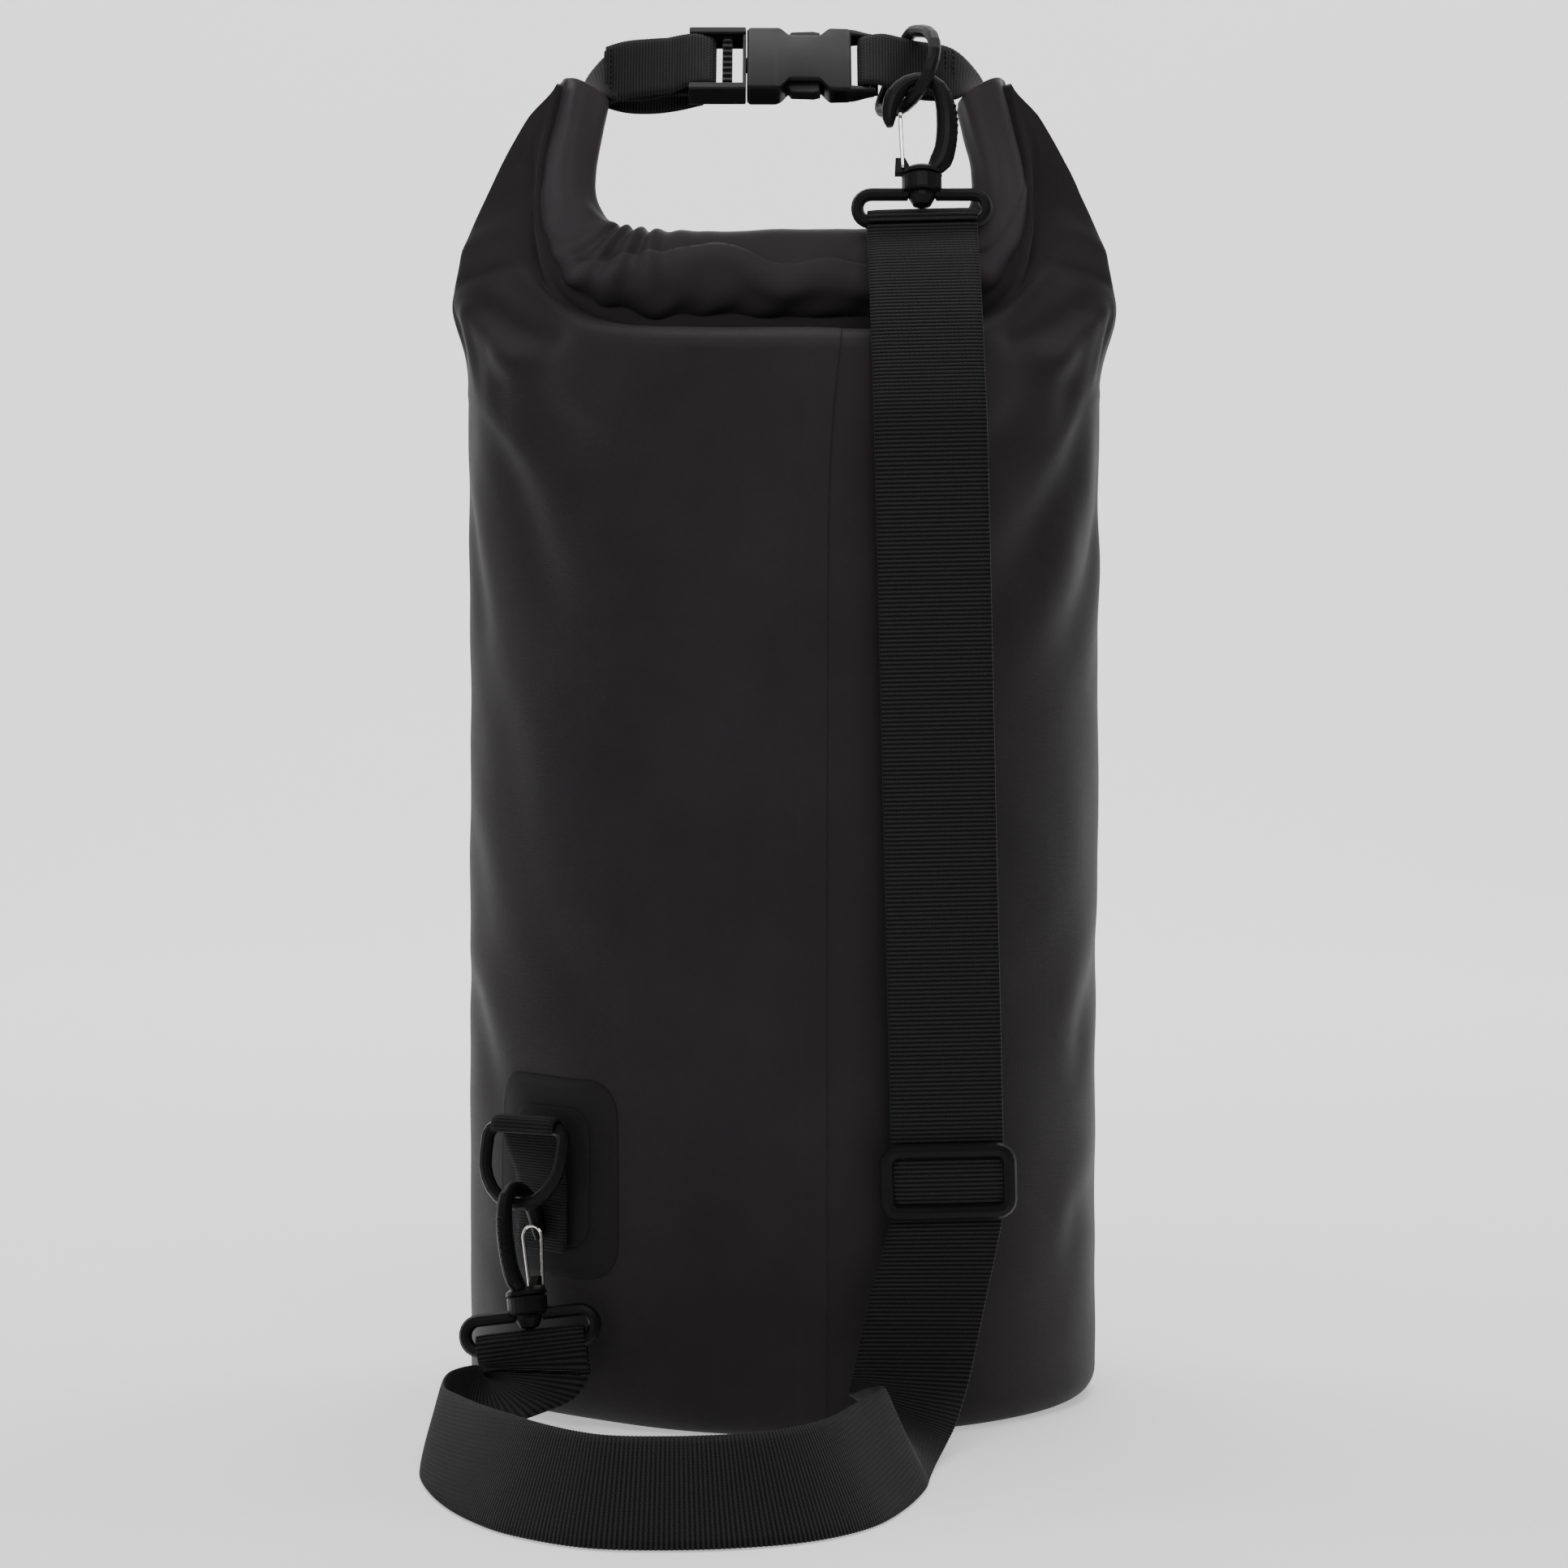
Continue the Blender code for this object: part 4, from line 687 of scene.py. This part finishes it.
# ---- closure webbing
def make_closure_webbing():
    """Each webbing leaves the roll's end, turns level and wraps a bar of the buckle."""
    roll = roll_path(3)
    tilt = np.array((0, -math.cos(BUCKLE_TILT), -math.sin(BUCKLE_TILT)))
    steep = np.array((0, -math.sin(WEBBING_TILT), -math.cos(WEBBING_TILT)))
    face = np.array((0, -math.sin(BUCKLE_TILT), math.cos(BUCKLE_TILT)))
    half = BUCKLE_BAR + GAP + WEBBING_THICK / 2
    for name, side, bar, tail in (("closure_webbing_left", -1, -0.0272, 0.014),
                                  ("closure_webbing_right", 1, 0.0292, 0.004)):
        mirror = np.array((side, 1, 1))
        line = [roll["centre"][k] * mirror for k in (-4, -2, -1)]
        across = [-(roll["wide"][k] * mirror) for k in (-4, -2, -1)]
        last = across[-1]
        line += [mirror * (0.0668, -0.0228, 0.4688), mirror * (0.059, -0.024, 0.4718),
                 BUCKLE_PLACE + (0.0455 * side, 0, -0.0014)]
        across += [last * 0.6 + steep * 0.4, last * 0.15 + steep * 0.85, steep]
        inward = np.array((-side, 0, 0))
        centre = BUCKLE_PLACE + (bar, 0, 0)
        line.append(centre - inward * 0.006 + face * half)
        for k in range(7):
            a = math.pi * k / 6
            line.append(centre + (face * math.cos(a) + inward * math.sin(a)) * half)
        line.append(centre - inward * tail - face * (half + 0.0004))
        across += [tilt * 0.6 + steep * 0.4] + [tilt] * 8
        dress(band("woven_" + name, line, across, WEBBING_WIDTH, **TAPE), "webbing", name)

    # the left webbing is doubled: a sewn layer in front, and a loose tail that sags behind
    facing = np.array((0, -math.cos(WEBBING_TILT), math.sin(WEBBING_TILT)))
    front = [np.array(p) + facing * (WEBBING_THICK + GAP) for p in
             ((-0.0632, -0.0236, 0.4702), (-0.0560, -0.0243, 0.4722), (-0.0455, -0.0253, 0.4734),
              (-0.038, -0.0253, 0.474))]
    spread = [steep, steep, steep * 0.8 + tilt * 0.2, steep * 0.6 + tilt * 0.4]
    dress(band("woven_webbing_front", front, spread, WEBBING_WIDTH, **TAPE), "webbing")
    sag = [(-0.0285, -0.0195, 0.4712), (-0.038, -0.0205, 0.469), (-0.047, -0.0208, 0.468),
           (-0.056, -0.0205, 0.4684), (-0.064, -0.02, 0.4705)]
    dress(band("woven_webbing_tail", sag, (0, -0.50, -0.86), WEBBING_WIDTH * 0.94, **TAPE), "webbing")
    across = steep * (WEBBING_WIDTH / 2 - 0.002)
    left, right = 1.5 * WEBBING_THICK + GAP, 0.5 * WEBBING_THICK
    for name, place, above in (("left_end", (-0.0612, -0.0241, 0.4712), left),
                               ("left_inner", (-0.0580, -0.0241, 0.4712), left),
                               ("right_end", (0.06, -0.024, 0.4716), right),
                               ("right_inner", (0.0572, -0.024, 0.4716), right)):
        middle = np.array(place) + facing * above
        stitch_row(name + "_stitches", middle - across, middle + across, facing)


# ---- strap
def strap_centre(height):
    return SLIDER_PLACE[0] - (height - SLIDER_PLACE[2]) * SLIDER_LEAN


def hanging(points):
    return [np.array((strap_centre(z), y, z)) for y, z in points]


def loop_frame(place, axis, across):
    up, across = unit(axis), np.asarray(across, float)
    side = unit(across - up * np.dot(across, up))
    return np.array(place), up, side, np.cross(up, side)


# floor loop's edges, from the hanging run to the lower hook, in millimetres
FLOOR_RIGHT = MM * np.array([
    (74.6, -115, 77.2), (71.9, -117.5, 64), (68.3, -121, 48), (63.2, -128, 25), (58.4, -141, 11.8),
    (54.5, -153, 6), (50.5, -170, 2.2), (47.8, -190, 1), (45.5, -211, 0.6), (39.1, -241, 0.6),
    (30.1, -268.6, 0.6), (18.4, -287.3, 0.6), (3.3, -300.4, 0.6), (-16.7, -308.3, 0.6), (-36.6, -311, 0.6),
    (-56.5, -309, 0.6), (-71.4, -300.4, 0.6), (-87.7, -283.2, 0.6), (-98.9, -263.2, 0.6),
    (-107.7, -241, 0.6), (-115.3, -212.8, 0.6), (-119.9, -183.4, 0.6), (-119.5, -158, 0.8),
    (-114, -142, 2.2), (-106, -137, 5), (-95, -131, 8), (-82, -125, 11.8), (-72, -118, 15),
    (-66.8, -111, 21.5)])
FLOOR_LEFT = MM * np.array([
    (36.6, -115, 76.3), (33.5, -117.5, 63.6), (29, -120.5, 48), (23.8, -127, 25.8), (22.2, -133, 20.5),
    (22.6, -142, 20.5), (24.5, -156, 23.5), (28.5, -173, 27.8), (32.5, -192.5, 31), (22.6, -227.5, 31.6),
    (15, -253, 31.8), (6, -270, 32), (-5, -281, 32), (-20, -287.5, 32), (-36.6, -290, 32),
    (-53.5, -288.5, 32), (-65, -280.5, 32), (-77, -265.5, 32), (-86.8, -246.5, 31.5), (-96.5, -222, 30),
    (-106.2, -188, 27.5), (-113.9, -155.5, 25.5), (-113.2, -130, 26.2), (-107, -114, 25.8),
    (-104, -107, 24), (-103.6, -104.5, 21.5), (-103.6, -104, 20.5), (-103.7, -104.5, 20.8),
    (-103.8, -105, 21.5)])


def make_strap():
    place, up = loop_frame(UPPER_SWIVEL, UPPER_AXIS, UPPER_ACROSS)[:2]
    bar = place - up * (LOOP_DROP + LOOP_HALF_HIGH)
    wrap = LOOP_ROD + 3 * GAP + STRAP_THICK / 2
    across = unit((1, 0, SLIDER_LEAN))
    cloth = {"thick": STRAP_THICK, "pitch": STRAP_RIB, "look": WOVEN_STRAP}

    front = [bar + (0, -wrap, -0.0006)] + hanging(
        [(-0.0615, 0.413), (-0.072, 0.4045), (-0.089, 0.386), (-0.106, 0.36), (-0.113, 0.344),
         *((STRAP_FRONT_Y, z) for z in (0.325, 0.26, 0.15, FRONT_RUN_END))])
    dress(band("woven_hanging_run", front, across, STRAP_WIDTH, **cloth), "webbing", "strap_hanging_run")

    fold = []
    for k in range(8):
        a = math.radians(182 - 172 * k / 7)
        fold.append(bar + (0, wrap * math.cos(a), wrap * math.sin(a) + 0.0002))
    fold[0][2] += 0.0004
    fold += hanging([(-0.0529, 0.4135), (-0.057, 0.4092), (-0.0665, 0.4035), (-0.0866, 0.384),
                     (-0.1035, 0.3580), (-0.1105, 0.3440), (-0.1121, BEND_HEIGHT)])
    dress(band("woven_upper_fold", fold, across, STRAP_WIDTH, **cloth), "webbing", "strap_upper_fold")

    layer = hanging([(STRAP_BACK_Y, z) for z in (BACK_LAYER_TOP, 0.25, 0.17, BACK_LAYER_END)])
    made = band("woven_back_layer", layer, across, STRAP_WIDTH, **cloth)
    dress(made, "webbing", "strap_back_layer")
    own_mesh(made)

    made = webbing("woven_floor_loop", FLOOR_LEFT, FLOOR_RIGHT, slack=0.0010, seed=4, **cloth)
    dress(made, "webbing", "strap_floor_loop")

    # sewn end, folded loosely over the lower loop's bar
    place, up, side, back = loop_frame(LOWER_SWIVEL, LOWER_AXIS, LOWER_ACROSS)
    bar = place - up * (LOOP_DROP + LOOP_HALF_HIGH)
    right, left = FLOOR_RIGHT[-1], FLOOR_LEFT[-1]
    edge, middle = unit(right - left), (right + left) / 2
    meet = bar - back * wrap
    travel = unit(meet - middle)
    loose = [middle + travel * 0.0020, middle * 0.4 + meet * 0.6]
    for k in range(7):
        a = math.radians(180 - 30 * k)
        loose.append(bar + up * 0.0010 + back * wrap * math.cos(a) + up * wrap * math.sin(a))
    loose += [bar + back * (wrap + 0.0002) - up * 0.006, bar + back * (wrap - 0.0004) - up * 0.012]
    spread = [edge] + [side] * (len(loose) - 1)
    made = band("woven_lower_end", loose, spread, STRAP_WIDTH - 0.0006, **cloth)
    dress(made, "webbing", "strap_lower_end")


def stitch_row(name, start, end, normal):
    """A row of sewn stitches between two points, each a short sunken loop of thread."""
    lofts = []
    t = np.linspace(0, 1, 7)[:, None]
    for k in range(STITCHES):
        a, b = k / STITCHES, (k + 1 - STITCH_GAP) / STITCHES
        arch = start + (end - start) * (a + (b - a) * t)
        arch = arch + normal * THREAD_RADIUS * (2.2 * np.sin(math.pi * t) - 0.9)
        ahead = unit(np.gradient(arch, axis=0))
        up = unit(normal - ahead * np.dot(ahead, normal)[:, None])
        across = np.cross(ahead, up)
        lofts.append([ring(centre, THREAD_RADIUS, u, v, 8) for centre, u, v in zip(arch, up, across)])
    dress(add_lofts(name, lofts, THREAD), "webbing")


# ---- slider
def make_slider_bulge():
    """The strap humps over the slider's middle bar, seen through the frame."""
    across = unit((1, 0, SLIDER_LEAN))
    line = []
    for t in np.linspace(-1, 1, 15):
        z = SLIDER_PLACE[2] + 0.0088 * t
        hump = 0.0017 * (1 - abs(t) ** 2.4) + 0.0004
        line.append((strap_centre(z), STRAP_FRONT_Y - STRAP_THICK * 0.60 - hump, z))
    made = band("woven_slider_bulge", line, across, STRAP_WIDTH - 0.0006, STRAP_THICK * 0.8,
                STRAP_RIB, WOVEN_STRAP, steps=4)
    dress(made, "webbing", body="slider")


# ---- lower ring's patches and tab
def rounded_outline(width, height, corner, steps=8):
    points = []
    for cx, cz, start in ((1, -1, -90), (1, 1, 0), (-1, 1, 90), (-1, -1, 180)):
        for k in range(steps + 1):
            a = math.radians(start + 90 * k / steps)
            points.append((cx * (width / 2 - corner) + corner * math.cos(a),
                           cz * (height / 2 - corner) + corner * math.sin(a)))
    dense = []
    for a, b in zip(points, points[1:] + points[:1]):
        pieces = max(1, int(math.dist(a, b) / 0.003))
        dense += [(a[0] + (b[0] - a[0]) * k / pieces, a[1] + (b[1] - a[1]) * k / pieces)
                  for k in range(pieces)]
    return np.array(dense)


def make_patch(name, node, size, corner, low, look, weld):
    """Welded patch on the wall: rounded edge, a pressed weld line inside it, a slightly full middle."""
    outline = rounded_outline(*size, corner)
    levels = [(1.0, -0.0006), (1.0, 0.0002), (0.994, PATCH_THICK * 0.85), (0.985, PATCH_THICK),
              (1 - weld, PATCH_THICK), (0.982 - weld, PATCH_THICK * 0.88), (0.964 - weld, PATCH_THICK),
              (0.70, PATCH_THICK * 1.05)] + [(scale, PATCH_THICK * 1.1) for scale in (0.45, 0.2, 0.004)]
    rings, cloth = [], []
    for scale, reach in levels:
        flat = outline * scale
        azimuth = PATCH_AZIMUTH + flat[:, 0] / BAG_RADIUS
        rings.append(wall_point(azimuth, PATCH_HEIGHT + flat[:, 1], low + reach))
        cloth.append(flat)
    made = add_lofts(name, [rings], look, np.concatenate(cloth), sharp=50)
    dress(made, "coated_fabric", node)


def make_tab():
    make_patch("welded_patch_outer", "ring_patch_outer", PATCH_OUTER, 0.012, 0.0, COATED_PATCH, 0.07)
    make_patch("welded_patch_inner", "ring_patch_inner", PATCH_INNER, 0.008, PATCH_THICK, COATED_PATCH, 0.09)
    sheet = BAG_RADIUS + 3 * GAP + 2 * PATCH_THICK + WEBBING_THICK / 2 + 0.0012
    turn = np.array(Matrix.Rotation(LOWER_RING_TURN, 3, "Z"))
    out = np.array((math.sin(PATCH_AZIMUTH), -math.cos(PATCH_AZIMUTH), 0))
    along = np.array((math.cos(PATCH_AZIMUTH), math.sin(PATCH_AZIMUTH), 0))
    bar_side, bar_out = turn @ (1, 0, 0), turn @ (0, -1, 0)
    wrap = RING_ROD + 2 * GAP + WEBBING_THICK / 2
    wall = out * sheet
    line = [wall + (0, 0, z) for z in (0.061, 0.065, 0.076, 0.085)]
    across = [along] * len(line)
    joint = LOWER_RING_PLACE * (1, 1, 0) - bar_out * wrap
    line.append(wall * 0.4 + joint * 0.6 + (0, 0, 0.0955))
    across.append(along * 0.4 + bar_side * 0.6)
    for k in range(8):
        a = math.radians(180 - 200 * k / 7)
        line.append(LOWER_RING_PLACE + bar_out * wrap * math.cos(a) + (0, 0, wrap * math.sin(a)))
        across.append(bar_side)
    dress(band("woven_ring_tab", line, across, WEBBING_WIDTH, **TAPE), "webbing", "ring_tab_webbing")


# ---- buckle's female half and the male half's grip ribs
FEMALE_LEFT, FEMALE_BODY, FEMALE_RIGHT = -0.0131, 0.0238, 0.0322
BUCKLE_HALF, BUCKLE_THICK, RAIL = 0.0165, 0.0080, 0.0132


def buckle_point(x, y, z):
    """Place on the buckle: +X along the webbing, +Y across it, +Z out of its face."""
    c, s = math.cos(BUCKLE_TILT), math.sin(BUCKLE_TILT)
    x, y, z = np.broadcast_arrays(x, y, z)
    return BUCKLE_PLACE + np.stack([x, y * c - z * s, y * s + z * c], axis=-1)


def rounded_section(low, high, thick_low, thick_high, corner, steps=5):
    """Closed section across the buckle, with rounded corners."""
    points = []
    for cy, cz, start in ((low, thick_low, 180), (high, thick_low, 270), (high, thick_high, 0),
                          (low, thick_high, 90)):
        for k in range(steps + 1):
            a = math.radians(start + 90 * k / steps)
            inward = (corner if cy == low else -corner, corner if cz == thick_low else -corner)
            points.append((cy + inward[0] + corner * math.cos(a), cz + inward[1] + corner * math.sin(a)))
    return np.array(points)


def loft_sections(name, stations, look):
    """Loft along the buckle through (x, section) stations."""
    rings = [buckle_point(x, section[:, 0], section[:, 1]) for x, section in stations]
    return add_lofts(name, [rings], look, sharp=55)


def cut_away(piece, low, high):
    """Remove a box, given in the buckle's own axes, from a piece."""
    corners = [buckle_point(x, y, z)
               for x in (low[0], high[0]) for y in (low[1], high[1]) for z in (low[2], high[2])]
    faces = [(0, 1, 3, 2), (4, 6, 7, 5), (0, 4, 5, 1), (2, 3, 7, 6), (0, 2, 6, 4), (1, 5, 7, 3)]
    tool = add_mesh("pocket_tool", corners, faces, PLASTIC)
    step = piece.modifiers.new("pocket", "BOOLEAN")
    step.object, step.operation, step.solver = tool, "DIFFERENCE", "EXACT"
    bpy.context.view_layer.update()
    found = piece.evaluated_get(bpy.context.evaluated_depsgraph_get())
    mesh = bpy.data.meshes.new_from_object(found)
    piece.modifiers.clear()
    piece.data = mesh
    bpy.data.objects.remove(tool)


def make_buckle():
    """Female half: a smooth case that dips over the thumb pads, with a raised lip and two tapered rails."""
    half, thick = BUCKLE_HALF, BUCKLE_THICK / 2
    stations = []
    for x in np.linspace(FEMALE_LEFT, FEMALE_BODY, 75):
        dip = smooth(-0.0022, 0.0028, x) * (1 - smooth(0.0118, 0.0168, x))
        end = 1 - 0.1 * smooth(0.01, FEMALE_BODY, x)
        nose = 0.0007 * (bell(x, FEMALE_LEFT, 0.0006) + bell(x, FEMALE_BODY, 0.0006))
        lip = 0.00045 * (1 - smooth(-0.0030, -0.0018, x))
        low, high = -half + 0.0052 * dip + nose, half - 0.0042 * dip - nose
        section = rounded_section(low, high, -thick * end + nose, thick * end - nose, 0.0011)
        section[:, 1] += lip * np.sign(section[:, 1]) * smooth(-0.0040, -0.0052, section[:, 0])
        section[:, 1] -= 0.0006 * np.sign(section[:, 1]) * bell(section[:, 0], 0, 0.012) * smooth(0, 0.02, x)
        stations.append((x, section))
    case = loft_sections("buckle_case", stations, PLASTIC)
    cut_away(case, (FEMALE_LEFT - 0.002, -0.0138, -0.0024), (0.019, 0.0138, 0.0024))
    rails = []
    for label, side in (("upper", 1), ("lower", -1)):
        stations = []
        for x in np.linspace(FEMALE_BODY - 0.0060, FEMALE_RIGHT, 20):
            taper = smooth(FEMALE_BODY - 0.001, FEMALE_RIGHT, x)
            outer, inner = half - 0.0012 * taper, RAIL + 0.0002
            low, high = sorted((side * inner, side * outer))
            deep = 0.0030 - 0.0012 * taper - 0.0006 * bell(x, FEMALE_RIGHT, 0.0005)
            stations.append((x, rounded_section(low, high, -deep, deep, 0.0007)))
        rails.append(loft_sections("buckle_case_rail_" + label, stations, PLASTIC))
    profile = ((0.0279, 0.0009), (0.0281, 0.0013), (0.0292, 0.0015), (0.0303, 0.0013), (0.0305, 0.0009))
    stations = [(x, rounded_section(-RAIL - 0.001, RAIL + 0.001, -deep, deep, 0.0003)) for x, deep in profile]
    bar = loft_sections("buckle_case_bar", stations, PLASTIC)
    dress(case, "moulded_plastic", "buckle_female")
    for piece in (*rails, bar):
        dress(piece, "moulded_plastic")

    # grip ribs on the male half's middle bar
    for k in range(8):
        y = -0.0105 + 0.0030 * k
        stations = []
        for t in np.linspace(-1, 1, 7):
            high = 0.0022 + 0.0007 * math.sqrt(max(0.0, 1 - t * t * 0.8))
            section = rounded_section(y - 0.0008, y + 0.0008, -high, high, 0.0006, 3)
            stations.append((-0.0200 + 0.0017 * t, section))
        dress(loft_sections(f"buckle_rib_{k}", stations, PLASTIC), "moulded_plastic")


# ---- ridges on the hooks: the limb's outer edge as (across, up) from the swivel
HOOK_EDGE = [(0.0083, 0.014), (0.009, 0.02), (0.009, 0.0255), (0.0083, 0.0315)]
HOOK_EDGE_WIDE = 0.0035
SERRATIONS = 7


def make_serrations(prefix, place, axis, across):
    """Thumb ridges across the outer edge of the hook's limb."""
    place, up, side, deep = loop_frame(place, axis, across)
    edge = curve_through(HOOK_EDGE, 12)
    lofts = []
    for k in range(SERRATIONS):
        x, z = edge[int((k + 0.5) / SERRATIONS * (len(edge) - 1))]
        middle = place + side * (x + HOOK_EDGE_WIDE - 0.0003) + up * z
        lofts.append([ring(middle + deep * (0.0019 * t) - side * (0.0009 * t * t),
                           0.0008 * math.sqrt(max(0.02, 1 - t * t)), side, up, 12)
                      for t in np.linspace(-1, 1, 11)])
    dress(add_lofts(prefix + "_hook_serrations", lofts, PLASTIC), "moulded_plastic", body=prefix + "_hook")


# ---- assembly
make_bag()
make_roll()
make_closure_webbing()
make_strap()
make_slider_bulge()
make_tab()
make_buckle()
make_serrations("upper", UPPER_SWIVEL, UPPER_AXIS, UPPER_ACROSS)
make_serrations("lower", LOWER_SWIVEL, LOWER_AXIS, LOWER_HOOK_ACROSS)

# the CAD meshes that stay shown take the looks of their slots
for name, node in frame["nodes"].items():
    slot = next(p["material_slot"] for p in frame["record"]["subparts"] if p["node"] == name)
    finish = {"gate_steel": STEEL, "stiffener": STIFF}.get(slot, PLASTIC)
    node.data.materials.clear()
    node.data.materials.append(finish)


# ---- floor, light and camera
FLOOR_REACH, FLOOR_LEVEL = 16.0, -0.0002
SWEEP_START, SWEEP_RADIUS, BACKDROP_TOP = 1.6, 1.2, 5.0
CAMERA_PLACE, CAMERA_DOWN, CAMERA_LENS = (0.0, -2.0, 0.33), 3.18, 127.45


def make_floor():
    """Pale sweep: a floor that curves up into a backdrop far behind."""
    profile = [(-FLOOR_REACH, FLOOR_LEVEL), (SWEEP_START, FLOOR_LEVEL)]
    for k in range(1, 13):
        a = math.radians(90 * k / 12)
        profile.append((SWEEP_START + SWEEP_RADIUS * math.sin(a),
                        SWEEP_RADIUS * (1 - math.cos(a)) + FLOOR_LEVEL))
    profile.append((SWEEP_START + SWEEP_RADIUS, BACKDROP_TOP))
    verts = [(x, y, z) for y, z in profile for x in (-FLOOR_REACH, FLOOR_REACH)]
    faces = [(2 * k, 2 * k + 1, 2 * k + 3, 2 * k + 2) for k in range(len(profile) - 1)]
    look = Look("pale_floor", (0.86, 0.86, 0.86), 0.7, specular=0.2)
    grain = look.noise(look.place(), 3.0, 2)
    look.link(look.mix(grain, (0.85, 0.85, 0.85), (0.88, 0.88, 0.88)), "Base Color")
    look.set(Emission_Color=(1, 1, 1, 1), Emission_Strength=0.50)
    add_mesh("pale_floor", verts, faces, look.material)


def add_light(name, place, target, size, power, colour=(1, 1, 1)):
    lamp = bpy.data.lights.new(name, "AREA")
    lamp.shape = "RECTANGLE"
    lamp.size, lamp.size_y = size
    lamp.energy = power
    lamp.color = colour
    holder = bpy.data.objects.new(name, lamp)
    holder.location = place
    holder.rotation_euler = (Vector(target) - Vector(place)).to_track_quat("-Z", "Y").to_euler()
    bpy.context.scene.collection.objects.link(holder)


make_floor()
add_light("key_front", (0.0, -0.78, 0.98), (0, -0.1, 0.42), (0.7, 0.5), 4.6, (1.0, 0.985, 0.97))
add_light("fill_left", (-1.7, -1.5, 0.9), (0, 0, 0.25), (1.2, 1.6), 5, (0.97, 0.98, 1.0))
add_light("top_strip", (0.0, 0.3, 2.2), (0, 0, 0.3), (2.0, 1.0), 13)
add_light("backdrop_wash", (0.0, 1.0, 2.6), (0, 2.6, 0.8), (3.6, 1.0), 80)

world = bpy.data.worlds.new("studio")
world.use_nodes = True
sky = world.node_tree.nodes["Background"].inputs
sky["Color"].default_value, sky["Strength"].default_value = (1.0, 1.0, 1.0, 1), 0.16
bpy.context.scene.world = world

camera = bpy.data.cameras.new("photo_view")
camera.sensor_width = 36.0
camera.lens = CAMERA_LENS
camera.clip_end = 50.0
camera_holder = bpy.data.objects.new("photo_view", camera)
camera_holder.location = CAMERA_PLACE
camera_holder.rotation_euler = (math.radians(90 - CAMERA_DOWN), 0, 0)
bpy.context.scene.collection.objects.link(camera_holder)
bpy.context.scene.camera = camera_holder
